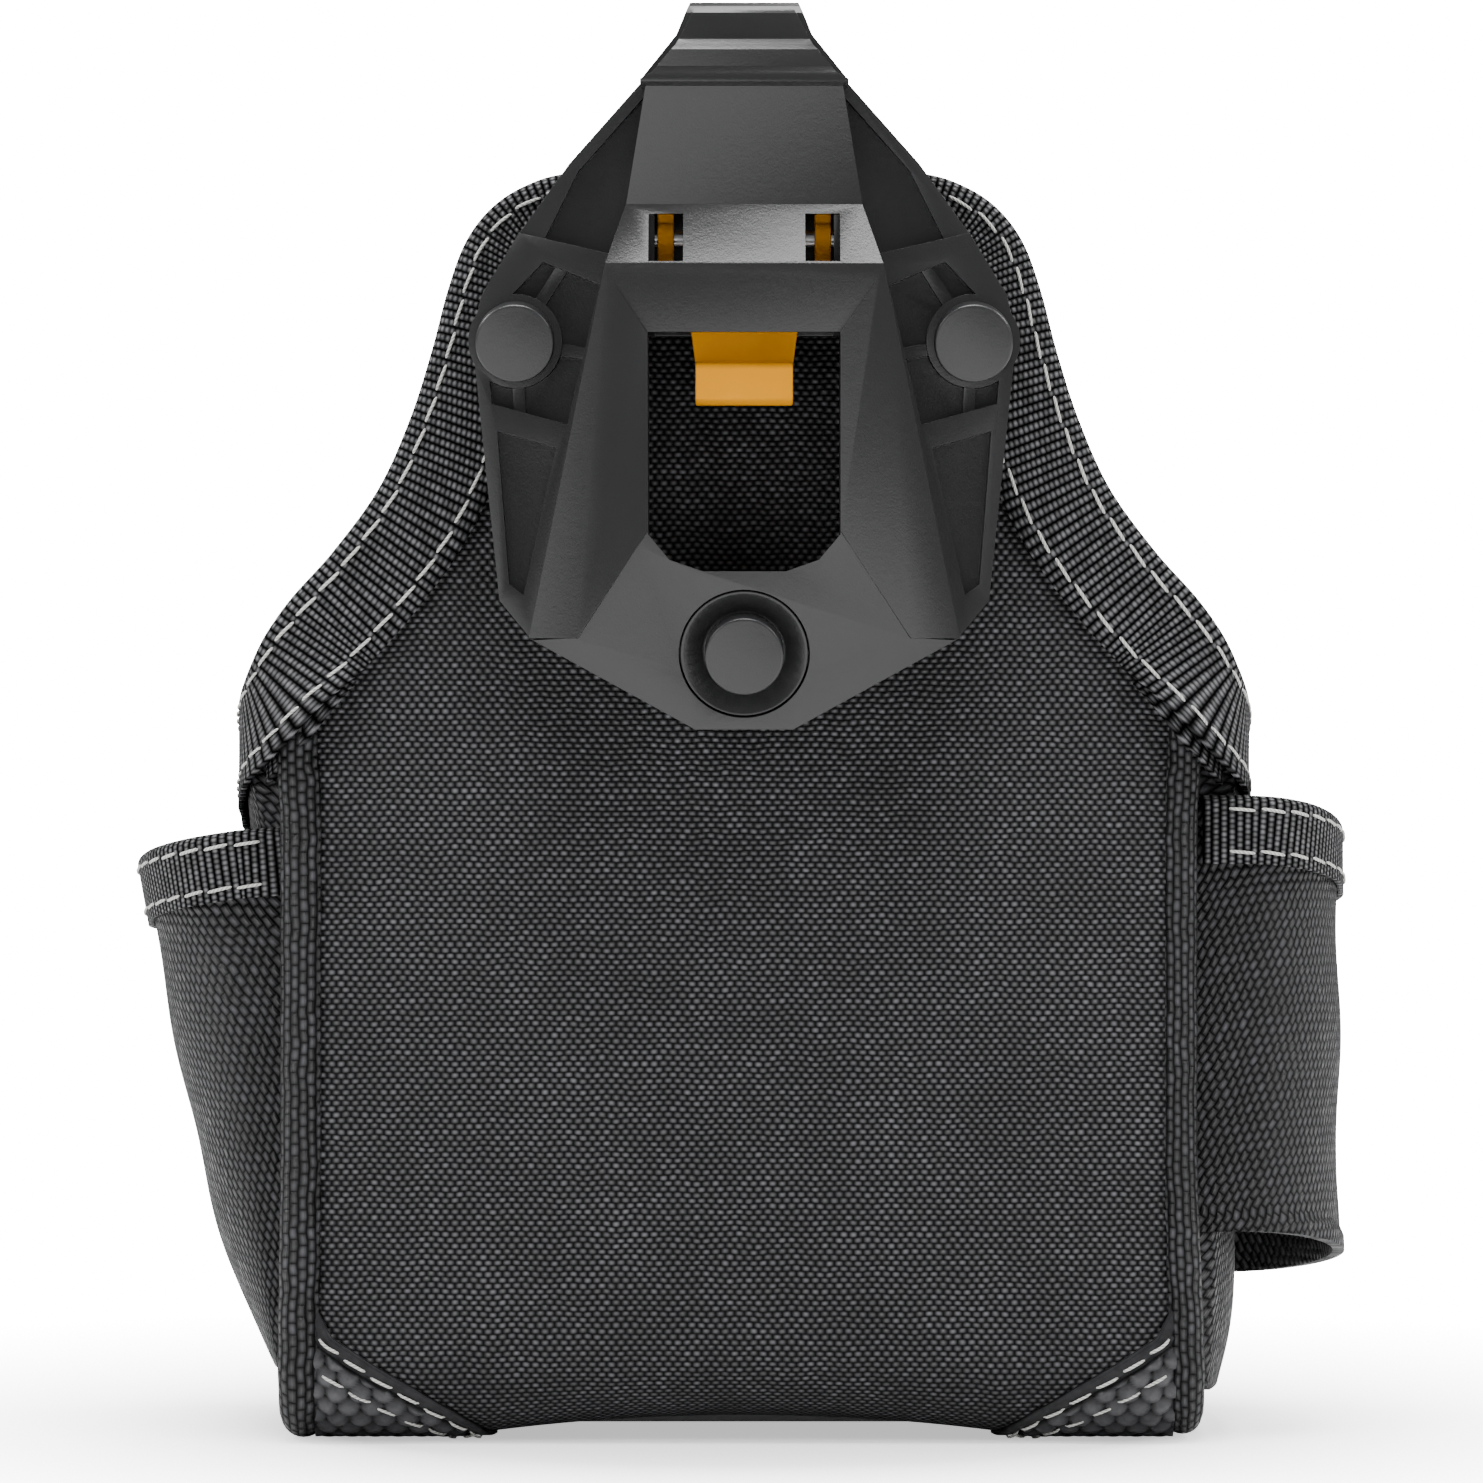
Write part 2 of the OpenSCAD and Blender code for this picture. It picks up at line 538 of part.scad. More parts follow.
// The yellow lever: its barrels turn on the pin, its tongue hangs in the window and its button
// stands out over the pouch's edge
module latch_lever() color(YELLOW) place_clip()
    difference() {
        union() {
            both_sides() bar_x(pivot.x, pivot.y, 3.2, 12.9, 15.9);
            intersection() {
                slab_x([[-7.7, 98], [-7.7, 119.2], [3.5, 121.4], [5.6, 119.4], [5.6, 109.4], [4, 107.6],
                    [-5.3, 106.6], [-5.3, 92], [-5.3, 80], [-6, 59.4], [-12, 59.4], [-13.8, 60.2],
                    [-13.8, 66], [-13.2, 66.8], [-10.4, 67.2], [-8.4, 76], [-8.2, 84]], -20, 20);
                slab_y(mirrored([[8.9, 59], [8.9, 66.5], [9.8, 73], [15.9, 80], [15.9, 97],
                    [11.4, 108.5], [11.4, 124]]), -20, 8);
            }
        }
        bar_x(pivot.x, pivot.y, pin_r + 0.05, -17, 17);
        translate([-12.9, -12, 84.6]) cube([25.8, 12, 10.8]);
        slab_x([[-5.2, 110], [-5.2, 117.2], [2.6, 118.8], [3.2, 118], [3.2, 111.2], [2, 110]], -9, 9);
    }

module latch_pin() color(STEEL) place_clip() bar_x(pivot.x, pivot.y, pin_r, -19.4, 19.4);

// A torsion spring on the pin: one leg bears on the plate's wall, the other on the lever
module torsion_spring() {
    wire_r = 0.4;
    coil_r = 2.35;
    turns = 4.5;
    per_turn = 12;
    half = 2.6;
    steps = turns * per_turn;
    leg_up = [[half, pivot.x - 2.95, pivot.y + 6.6], [half, pivot.x - coil_r, pivot.y + 3.2]];
    coil = [for (k = [0 : steps]) let (a = 180 + 360 * k / per_turn)
        [half - 2 * half * k / steps, pivot.x + coil_r * cos(a), pivot.y + coil_r * sin(a)]];
    leg_down = [[-half, pivot.x + coil_r, pivot.y - 3.4], [-half, pivot.x + 1.65, pivot.y - 10]];
    line = concat(leg_up, coil, leg_down);
    function way(i) = unit(line[min(i + 1, len(line) - 1)] - line[max(i - 1, 0)]);
    loft([for (i = [0 : len(line) - 1]) let (t = way(i), side = [1, 0, 0],
            u = unit(side - t * (side * t)), v = cross(t, u))
        [for (k = [0 : 5]) line[i] + (u * cos(60 * k) + v * sin(60 * k)) * wire_r]]);
}
module latch_spring() color(STEEL) place_clip() torsion_spring();

// A rivet's cap, whose face leans down a little, on a flat seat at depth y
module leaning_cap(x, h, y) intersection() {
    translate([x, y, h]) rotate([cap_lean, 0, 0]) bar_y(0, 0, cap_r, -3.4, 3);
    bar_y(x, h, cap_r + 2, y - 8, y - 0.02);
}
tape_back = stack_t / 2 + mouth_gap(0) + tape_t;
module upper_rivets() color(PLASTIC) place_clip()
    both_sides() {
        leaning_cap(41.9, 71.1, wing_y);
        bar_y(41.9, 71.1, shank_r, wing_y - 1, clip_gap + tape_back + 2);
    }
module lower_rivet() color(PLASTIC) place_clip() {
    on_nose() bar_y(0, 0, cap_r, -2.6, dish_seat - 2.05);
    bar_y(0, rivet_h, shank_r, nose_y, clip_gap + stack_t + 2);
}

// The dished ring that the lower cap sits in
module lower_rivet_dish() color(PLASTIC) place_clip() difference() {
    on_nose() rotate([90, 0, 0]) difference() {
        translate([0, 0, -dish_seat]) cylinder(r = 11.7, h = dish_seat - 0.3);
        translate([0, 0, 2 - dish_seat]) cylinder(r1 = 7.6, r2 = 11.3, h = dish_seat - 2.29);
    }
    bar_y(0, rivet_h, shank_r + 0.1, -30, 0);
}

module washer(x, z, y)
    difference() {
        bar_y(x, z, 8, y, y + 1.5);
        bar_y(x, z, shank_r + 0.1, y - 1, y + 3);
    }
module rivet_washers() color(STEEL) {
    both_sides() washer(upper_rivet.x, upper_rivet.y, tape_back + 0.02);
    washer(0, lower_rivet_z, stack_t);
}

module in_frame() translate([0, centre_y, 0]) children();

in_frame() clip_plate();
in_frame() clip_liner();
in_frame() latch_lever();
in_frame() latch_pin();
in_frame() latch_spring();
in_frame() upper_rivets();
in_frame() lower_rivet();
in_frame() lower_rivet_dish();
in_frame() rivet_washers();
in_frame() back_panel();
in_frame() back_board();
in_frame() back_lining();
in_frame() front_panel();
in_frame() bottom_panel();
in_frame() bottom_board();
in_frame() left_side_panel();
in_frame() right_side_panel();
in_frame() left_piping();
in_frame() right_piping();
in_frame() mouth_binding();
in_frame() back_corner_patches();
in_frame() front_corner_patches();
in_frame() left_pocket();
in_frame() left_pocket_binding();
in_frame() right_tool_sleeve();
in_frame() right_sleeve_binding();
in_frame() front_pocket();
in_frame() front_pocket_binding();
in_frame() front_tool_loops();
in_frame() inner_tool_loops();
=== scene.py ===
# %% [markdown]
# # An electrician's tool pouch
# The pouch is a sewn box of black ballistic nylon. Webbing binds its open mouth, a piped seam
# runs round each side, and a moulded belt clip with a sprung yellow latch is riveted to its back.
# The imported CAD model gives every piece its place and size, and this script gives them their looks.

import bmesh
import bpy
import numpy as np
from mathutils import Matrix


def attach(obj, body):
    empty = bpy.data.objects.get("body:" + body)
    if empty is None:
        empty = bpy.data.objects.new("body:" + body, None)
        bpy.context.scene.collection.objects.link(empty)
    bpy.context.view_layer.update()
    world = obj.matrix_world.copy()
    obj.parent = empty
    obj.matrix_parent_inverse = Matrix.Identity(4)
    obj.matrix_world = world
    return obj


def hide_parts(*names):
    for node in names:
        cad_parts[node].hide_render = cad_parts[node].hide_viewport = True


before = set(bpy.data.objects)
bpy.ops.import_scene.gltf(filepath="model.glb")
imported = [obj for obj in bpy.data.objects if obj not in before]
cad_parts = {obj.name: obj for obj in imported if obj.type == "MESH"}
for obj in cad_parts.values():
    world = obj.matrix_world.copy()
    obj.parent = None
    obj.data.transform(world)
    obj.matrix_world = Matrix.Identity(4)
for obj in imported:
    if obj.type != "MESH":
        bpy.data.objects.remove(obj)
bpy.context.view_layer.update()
MM = 0.001
CENTRE_Y = -44.2

# %% [markdown]
# ## How surfaces are made
# Cloth is cut flat and sewn, so its surfaces have two directions, like a grid of threads. Each soft
# piece here is rings of points: the ring goes round the cloth's section and the rings follow its
# length. Lengths along both directions become the UV map in millimetres, so a weave keeps its real
# size on every piece. Depth is counted from the back panel's outer face, as the pattern cutter would.


# %% Rings of points become closed surfaces
def unit(v):
    """Each vector divided by its length."""
    return v / np.maximum(np.linalg.norm(v, axis=-1, keepdims=True), 1e-9)


def ease(x, start, end):
    """0 before start, 1 after end, and 3t^2 - 2t^3 between them."""
    t = np.clip((x - start) / (end - start), 0, 1)
    return t * t * (3 - 2 * t)


def skin(rings, u, v, closed=False):
    """Four-sided faces through n rings of m points. u and v give the map: u along, v round each ring.
    Open ends are closed by strips that join point j to its partner m - 1 - j."""
    n, m = rings.shape[:2]
    spans = n if closed else n - 1
    both = np.broadcast_arrays(u, v) if u.ndim == 2 else np.meshgrid(u, v, indexing="ij")
    uv = np.stack(both, -1)
    i, j = np.meshgrid(np.arange(spans), np.arange(m), indexing="ij")
    k, l = (i + 1) % n, (j + 1) % m
    quads = [np.stack([i * m + j, i * m + l, k * m + l, k * m + j], -1).reshape(-1, 4)]
    corners = [np.stack([uv[i, j], uv[i, j + 1], uv[i + 1, j + 1], uv[i + 1, j]], 2).reshape(-1, 4, 2)]
    if not closed:
        j = np.arange(m // 2 - 1)
        strip = np.stack([j, j + 1, m - 2 - j, m - 1 - j], -1)
        for ring in (0, n - 1):
            quads.append(strip + ring * m)
            corners.append(uv[ring][strip])
    return rings.reshape(-1, 3), np.concatenate(quads), np.concatenate(corners)


def shell(outer, inner, u, v):
    """A cloth of two faces, outer and inner, each an n by m grid. The rings go out along one face
    and back along the other; u and v are n by m."""
    back = lambda g: np.concatenate([g, g[:, ::-1], g[:, :1]], 1)
    return skin(np.concatenate([outer, inner[:, ::-1]], 1), back(u), back(v))


def lengths(points):
    """Distance along a line of points, from its start."""
    return np.concatenate([[0], np.cumsum(np.linalg.norm(np.diff(points, axis=0), axis=1))])


def flat_map(grid):
    """Lengths along a grid's two directions, taken through its middle: the cloth laid flat."""
    n, m = grid.shape[:2]
    across = lengths(grid[n // 2]) - lengths(grid[n // 2])[-1] / 2
    along = lengths(grid[:, m // 2])
    return np.broadcast_to(across[None], (n, m)), np.broadcast_to(along[:, None], (n, m))


def flip_x(part):
    """The same piece on the other side of the pouch."""
    points, quads, corners = part
    return points * (-1, 1, 1), quads, corners


def build(name, parts, material, stands_for=(), body="pouch", relief=None):
    """Joins the parts into one mesh with outward faces, and lets it ride on a body. relief is an
    emboss height for each point, which the material reads for painted shade and highlight."""
    count = np.cumsum([0] + [len(p[0]) for p in parts])
    points = np.concatenate([p[0] for p in parts]) + (0, CENTRE_Y, 0)
    quads = np.concatenate([p[1] + c for p, c in zip(parts, count)])
    mesh = bpy.data.meshes.new(name)
    mesh.from_pydata((points * MM).tolist(), [], quads.tolist())
    corners = np.concatenate([p[2] for p in parts])
    mesh.uv_layers.new(name="UVMap").data.foreach_set("uv", corners.ravel())
    if relief is not None:
        heights = mesh.attributes.new("relief", "FLOAT", "POINT").data
        heights.foreach_set("value", np.tile(relief, len(parts)))
    bm = bmesh.new()
    bm.from_mesh(mesh)
    bmesh.ops.recalc_face_normals(bm, faces=bm.faces)
    bm.to_mesh(mesh)
    bm.free()
    mesh.shade_smooth()
    mesh.materials.append(material)
    piece = bpy.data.objects.new(name, mesh)
    bpy.context.collection.objects.link(piece)
    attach(piece, body)
    if stands_for:
        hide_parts(*stands_for)
    print(name, len(points), "points", len(quads), "faces")
    return piece


# %% [markdown]
# ## Stitches
# The seams are lock-stitched with thick light grey thread. Each stitch lies on the cloth for about
# 5 mm and dives into it at both ends. One small sausage is bent along the seam's line and repeated.


# %% A line of stitches
NEXT_STITCH = 7.3  # how far the map moves on from stitch to stitch, so that their plies differ


def stitches(line, normals, length=5.6, gap=0.6, radius=0.3):
    """Sausages along a line: the section is an ellipse whose height above the cloth is
    radius * (0.7 - 1.7 |q|^6) for q from -1 to 1 along each stitch. The twist of the thread
    turns each stitch a little, so that it lies 0.22 q mm to either side of the line."""
    stations, sides = 7, 6
    s = lengths(line)
    count = int(s[-1] / (length + gap))
    q = np.linspace(-1, 1, stations)
    at = (np.arange(count)[:, None] + 0.5) * s[-1] / count + q * length / 2
    centre = np.stack([np.interp(at, s, line[:, k]) for k in range(3)], -1)
    up = unit(np.stack([np.interp(at, s, normals[:, k]) for k in range(3)], -1))
    side = unit(np.cross(np.gradient(centre, axis=1), up))
    centre = centre + side * (0.22 * q)[None, :, None]
    lift = radius * (0.7 - 1.7 * np.abs(q) ** 6)
    turn = np.arange(sides) * 2 * np.pi / sides
    wide, tall = np.cos(turn) * radius, np.sin(turn) * radius * 0.85
    taper = (1 - 0.35 * np.abs(q) ** 4)[None, :, None, None]
    points = centre[:, :, None] + up[:, :, None] * lift[None, :, None, None]
    points = points + taper * (side[:, :, None] * wide[:, None] + up[:, :, None] * tall[:, None])
    one = skin(points[0], (q + 1) * length / 2, np.arange(sides + 1) / sides)
    quads = one[1][None] + (np.arange(count) * stations * sides)[:, None, None]
    corners = one[2][None] + np.arange(count)[:, None, None, None] * (NEXT_STITCH, 0)
    return points.reshape(-1, 3), quads.reshape(-1, 4), corners.reshape(-1, 4, 2)


# %% [markdown]
# ## Materials
# Each pattern is computed from the map in millimetres, so no picture is stored. A weave is cells of
# thread over thread: where a thread is on top the surface is a rounded ridge along it, and the gaps
# between threads are painted dark as shade. Nylon yarns catch the light one by one, so each cell gets its
# own tone as a painted glint.


# %% A small kit for node materials
class Shader:
    """A Principled material with short ways to add maths, noise and bump nodes."""

    def __init__(self, name, colour=(0.02, 0.02, 0.02), rough=0.6, metal=0.0, specular=0.5):
        self.material = bpy.data.materials.new(name)
        self.material.use_nodes = True
        self.tree = self.material.node_tree
        self.surface = self.tree.nodes["Principled BSDF"]
        self.set(self.surface, "Base Color", (*colour, 1))
        self.set(self.surface, "Roughness", rough)
        self.set(self.surface, "Metallic", metal)
        self.set(self.surface, "Specular IOR Level", specular)

    def set(self, node, socket, value):
        socket = node.inputs[socket]
        if isinstance(value, bpy.types.NodeSocket):
            self.tree.links.new(value, socket)
        else:
            socket.default_value = value

    def node(self, kind, **settings):
        node = self.tree.nodes.new("ShaderNode" + kind)
        for key, value in settings.items():
            setattr(node, key, value)
        return node

    def math(self, operation, *values):
        node = self.node("Math", operation=operation)
        for k, value in enumerate(values):
            self.set(node, k, value)
        return node.outputs[0]

    def uv(self):
        split = self.node("SeparateXYZ")
        self.set(split, 0, self.node("UVMap", uv_map="UVMap").outputs[0])
        return split.outputs[0], split.outputs[1]

    def vector(self, x, y):
        node = self.node("CombineXYZ")
        self.set(node, 0, x)
        self.set(node, 1, y)
        return node.outputs[0]

    def place(self):
        return self.node("TexCoord").outputs["Object"]

    def noise(self, vector, scale, detail):
        node = self.node("TexNoise")
        self.set(node, "Vector", vector)
        self.set(node, "Scale", scale)
        self.set(node, "Detail", detail)
        return node.outputs["Fac"]

    def scatter(self, vector):
        node = self.node("TexWhiteNoise", noise_dimensions="2D")
        self.set(node, "Vector", vector)
        return node.outputs["Value"]

    def between(self, fac, low, high):
        node = self.node("Mix", data_type="RGBA")
        self.set(node, 0, fac)
        node.inputs[6].default_value = (*low, 1)
        node.inputs[7].default_value = (*high, 1)
        return node.outputs[2]

    def span(self, value, low, high, to_low=0.0, to_high=1.0):
        node = self.node("MapRange")
        for k, v in enumerate((value, low, high, to_low, to_high)):
            self.set(node, k, v)
        return node.outputs[0]

    def bump(self, height, depth):
        node = self.node("Bump")
        self.set(node, "Strength", 1.0)
        self.set(node, "Distance", depth)
        self.set(node, "Height", height)
        if self.surface.inputs["Normal"].is_linked:
            self.set(node, "Normal", self.surface.inputs["Normal"].links[0].from_socket)
        self.set(self.surface, "Normal", node.outputs[0])


# %% Woven cloth
GAP_SHADE = (0.001, 0.001, 0.0012)  # painted shade: the colour in the gaps between threads


def woven(name, light, cell, depth, rough=0.55, turn=0.0, glints=0.8, powers=(0.5, 0.7), gloss=0.5):
    """Height of a weave of thick yarn: rows of short floats, each row half a float further on. A
    float is an arch both ways, a power of sin(pi a) along it times a power of sin(pi b) across it.
    cell is its size in mm, turn is the weave's angle in degrees, and glints is how much the floats
    differ in tone, as painted glints. The colour is painted darker from the tops into the gaps as shade.
    Only their tops shine."""
    s = Shader(name, rough=rough)
    u, v = s.uv()
    cos, sin = np.cos(np.radians(turn)), np.sin(np.radians(turn))
    along = s.math("ADD", s.math("MULTIPLY", u, cos), s.math("MULTIPLY", v, sin))
    across = s.math("SUBTRACT", s.math("MULTIPLY", v, cos), s.math("MULTIPLY", u, sin))
    wander = s.noise(s.vector(u, v), 0.18, 1.0)
    b = s.math("MULTIPLY_ADD", wander, 0.8, s.math("DIVIDE", across, cell[1]))
    row = s.math("FLOOR", b)
    a = s.math("MULTIPLY_ADD", row, 0.5, s.math("DIVIDE", along, cell[0]))
    half_sine = lambda f: s.math("SINE", s.math("MULTIPLY", s.math("FRACT", f), np.pi))
    arches = [s.math("POWER", half_sine(f), power) for f, power in zip((a, b), powers)]
    height = s.math("MULTIPLY", *arches)
    own = s.scatter(s.vector(s.math("FLOOR", a), row))
    top = s.math("POWER", height, 1.5)
    # Painted shade: the colour falls from the floats' tops to the gap colour, and each float's random
    # lighter tone is a painted glint.
    painted_shade_tone = s.math("MULTIPLY", top, s.span(s.math("POWER", own, 2.2), 0, 1, 1 - glints, 1))
    painted_shade_tone = s.math("MULTIPLY", painted_shade_tone, s.span(s.noise(s.vector(u, v), 0.05, 3.0), 0.3, 0.7, 0.7, 1.2))
    s.set(s.surface, "Base Color", s.between(painted_shade_tone, GAP_SHADE, light))
    s.set(s.surface, "Specular IOR Level", s.math("MULTIPLY_ADD", top, gloss, 0.1))
    s.set(s.surface, "Roughness", s.span(own, 0, 1, rough - 0.12, rough + 0.15))
    yarn = s.math("SINE", s.math("MULTIPLY", b, 8 * np.pi))
    s.bump(s.math("MULTIPLY_ADD", yarn, 0.04, height), depth * MM)
    return s.material


def webbing(name, light, rib=1.5, row=1.0, depth=0.7):
    """Height of ribbed tape: |sin| across each rib, broken into beads by |sin| along it, with
    every second rib half a bead further on."""
    s = Shader(name, rough=0.55, specular=0.3)
    u, v = s.uv()
    a, b = s.math("DIVIDE", u, rib), s.math("DIVIDE", v, row)
    ribs = s.math("POWER", s.math("ABSOLUTE", s.math("SINE", s.math("MULTIPLY", a, np.pi))), 0.7)
    shifted = s.math("ADD", b, s.math("MULTIPLY", s.math("FLOOR", a), 0.5))
    beads = s.math("ABSOLUTE", s.math("SINE", s.math("MULTIPLY", shifted, np.pi)))
    height = s.math("MULTIPLY", ribs, s.math("MULTIPLY_ADD", beads, 0.4, 0.6))
    own = s.scatter(s.vector(s.math("FLOOR", a), s.math("FLOOR", shifted)))
    top = s.math("POWER", height, 3.0)
    # Painted shade: the colour falls from the beads' tops to the gap colour between ribs and beads.
    painted_shade_tone = s.math("MULTIPLY", top, s.span(own, 0, 1, 0.35, 1.0))
    s.set(s.surface, "Base Color", s.between(painted_shade_tone, GAP_SHADE, light))
    s.set(s.surface, "Specular IOR Level", s.math("MULTIPLY", top, 0.5))
    s.bump(height, depth * MM)
    return s.material


# %% Moulded plastic, rubberised cloth, thread and steel
def moulded_plastic(name, colour, rough, grain, gloss=0.5):
    """Spark-eroded grain: two scales of noise in the bump, and slow noise in gloss and colour."""
    s = Shader(name, colour, rough, specular=gloss)
    place = s.place()
    s.set(s.surface, "Roughness", s.span(s.noise(place, 45, 3.0), 0.1, 0.9, rough - 0.03, rough + 0.05))
    tint = s.span(s.noise(place, 160, 4.0), 0.1, 0.9)
    s.set(s.surface, "Base Color", s.between(tint, *([c * k for c in colour] for k in (0.95, 1.05))))
    s.bump(s.noise(place, 2600, 2.0), grain * MM)
    s.bump(s.noise(place, 900, 2.0), grain * 0.8 * MM)
    return s.material


def rubberised(name):
    """Smooth coated cloth: fine pores, with painted shade that turns the grooves black and a painted
    highlight that turns the scales' tops grey."""
    s = Shader(name, rough=0.34)
    place = s.place()
    relief = s.node("Attribute", attribute_name="relief").outputs["Fac"]
    # Painted shade and highlight: grooves between the scales go black and the scales' tops grey, from the
    # emboss height.
    painted_shade_and_sheen = s.math("MULTIPLY", relief, s.span(s.noise(place, 700, 3.0), 0.3, 0.7, 0.75, 1.1))
    s.set(s.surface, "Base Color", s.between(painted_shade_and_sheen, (0.001, 0.001, 0.001), (0.052, 0.052, 0.057)))
    s.set(s.surface, "Specular IOR Level", s.math("MULTIPLY", painted_shade_and_sheen, 0.6))
    s.bump(s.noise(place, 3200, 2.0), 0.03 * MM)
    return s.material


def thread_material(name, colour):
    """Plied thread: ridges that wind round it, |sin| of length and turn together, with painted shade in the
    grooves.
    """
    s = Shader(name, colour, 0.7)
    u, v = s.uv()
    wound = s.math("ADD", s.math("MULTIPLY", u, 3.6), s.math("MULTIPLY", v, 2 * np.pi))
    ply = s.math("ABSOLUTE", s.math("SINE", wound))
    # Painted shade: the grooves between the plies are darkened to 0.45 of the colour.
    s.set(s.surface, "Base Color", s.between(ply, [c * 0.45 for c in colour], colour))
    s.bump(ply, 0.12 * MM)
    return s.material


def steel_material(name):
    """Plated steel: a fine grain and small differences of polish."""
    s = Shader(name, (0.52, 0.52, 0.53), 0.35, metal=1.0)
    place = s.place()
    s.set(s.surface, "Roughness", s.span(s.noise(place, 500, 4.0), 0.3, 0.7, 0.25, 0.45))
    s.bump(s.noise(place, 1800, 2.0), 0.015 * MM)
    return s.material


# %% The finishes
SMOOTH_FLOATS = {"glints": 0.6, "powers": (1.3, 0.8)}
BALLISTIC = woven("ballistic_weave", (0.112, 0.112, 0.122), (1.75, 1.05), 0.5, **SMOOTH_FLOATS)
COARSE = woven("coarse_weave", (0.049, 0.049, 0.056), (2.3, 1.35), 0.7, turn=58)
CORDED = woven("piping_weave", (0.055, 0.055, 0.062), (2.2, 1.7), 0.7)
LINING = woven("lining_weave", (0.06, 0.06, 0.065), (1.2, 0.8), 0.12, rough=0.7, gloss=0.2)
TAPE = webbing("ribbed_webbing", (0.155, 0.155, 0.163))
THREAD = thread_material("grey_thread", (0.66, 0.66, 0.62))
RUBBER = rubberised("rubberised_cloth")
PLASTIC = moulded_plastic("black_plastic", (0.0125, 0.0125, 0.0131), 0.29, 0.03)
RIVET = moulded_plastic("rivet_plastic", (0.013, 0.013, 0.014), 0.36, 0.03)
YELLOW = moulded_plastic("yellow_plastic", (0.64, 0.25, 0.0), 0.5, 0.02, gloss=0.06)
BOARD = moulded_plastic("board_plastic", (0.04, 0.04, 0.042), 0.6, 0.05)
STEEL = steel_material("plated_steel")
print("finishes:", bpy.data.materials.keys())

# %% [markdown]
# ## The pouch's own curves
# The tape's fold line is the one curve that everything else meets: high and narrow behind the clip,
# spreading to a wing at each corner, then round the low sides and front.

# %% The mouth's fold line
PIPE_X, PIPE_Y, PIPE_R, PIPE_BEND = 82.4, 3.2, 4.2, 12.0
BOX_DEPTH, BEND_R, PATCH_T = 84.4, 15.2, 1.2
CLOTH_T, TAPE_T, SIDE_T, STACK_T = 1.6, 1.1, 2.4, 4.1
PANEL_X, MID_Y = 77.9, 42.2
MOUTH_TAPE, POCKET_TAPE = 19.0, 12.7
# Half of the fold line from the middle of the back: x, depth, height and facing in degrees.
MOUTH = np.array([
    [0, 2.05, 235.6, -90], [18, 2.05, 235.6, -90], [33, 2.05, 234.8, -90], [41, 2.05, 232.3, -90],
    [47, 2.05, 228.2, -90], [51.6, 2.05, 222, -90], [54.9, 2.05, 213, -90], [57.8, 2.05, 202, -90],
    [61.8, 2.05, 189.5, -90], [67.6, 2.05, 176.6, -90], [76, 2.05, 165, -90], [84, 2.1, 156, -88],
    [88.2, 3.7, 149.5, -66], [90, 7.5, 144.2, -36], [91.4, 14, 140.4, -14], [92.4, 24, 137.8, -6],
    [92.8, 36, 135, 0], [92.8, 48, 132.2, 2], [92.2, 60, 129.8, 6], [90.7, 70, 127.8, 16],
    [87.3, 78, 126.2, 45], [80.5, 82.5, 124.8, 74], [72, 83.6, 123.8, 88], [55, 83.6, 123.2, 90],
    [28, 83.6, 123, 90], [0, 83.6, 123, 90]])


def smooth_loop(knots, step):
    """A closed Catmull-Rom curve through the knots, sampled every step along its length.
    Each knot is a place and an outward direction; the columns are blended by the same cubic."""
    t = np.linspace(0, 1, 24, endpoint=False)[None, :, None]
    p0, p1, p2, p3 = (np.roll(knots, k, axis=0)[:, None] for k in (1, 0, -1, -2))
    q = 2 * p1 + (p2 - p0) * t + (2 * p0 - 5 * p1 + 4 * p2 - p3) * t**2 + (3 * p1 - p0 - 3 * p2 + p3) * t**3
    q = (q / 2).reshape(-1, knots.shape[1])
    q = np.concatenate([q, q[:1]])
    s = lengths(q[:, :3])
    at = np.linspace(0, s[-1], int(s[-1] / step), endpoint=False)
    return np.stack([np.interp(at, s, q[:, k]) for k in range(q.shape[1])], -1)


facing = np.radians(MOUTH[:, 3:])
half = np.concatenate([MOUTH[:, :3], np.cos(facing), np.sin(facing), 0 * facing], 1)
other_half = (half * (-1, 1, 1, -1, 1, 1))[-2:0:-1]
loop = smooth_loop(np.concatenate([half, other_half]), 1.4)
mouth, mouth_out = loop[:, :3], unit(loop[:, 3:])
mouth_way = unit(np.roll(mouth, -1, 0) - np.roll(mouth, 1, 0))
mouth_in = unit(np.cross(mouth_way, mouth_out))
mouth_face = unit(np.cross(mouth_in, mouth_way))
mouth_gap = STACK_T / 2 + 0.1 - 0.6 * np.clip((mouth[:, 1] - 2.2) / 8, 0, 1)
print("the mouth is", round(lengths(mouth)[-1]), "mm round")

# %% [markdown]
# ## Binding tape
# The mouth is bound with 38 mm nylon webbing folded in half over the cloth's edge, and each pocket
# with 25 mm webbing. Tape has a rounded fold and two leaves that follow the curve, so its section is
# a hairpin. Where it goes round a curve its free edges pucker a little.


# %% Folded tape along a line
def tape_section(width, fold=1.7, leaf=9, turns=11):
    """The hairpin as two lists: side, from 1 on one leaf to -1 on the other, and depth below the
    fold. Each leaf is straight, and a half circle over the fold joins them."""
    down = np.linspace(width, fold, leaf)
    angle = np.linspace(0, np.pi, turns)[1:-1]
    side = np.concatenate([np.ones(leaf), np.cos(angle), -np.ones(leaf)])
    depth = np.concatenate([down, fold - fold * np.sin(angle), down[::-1]])
    return side, depth


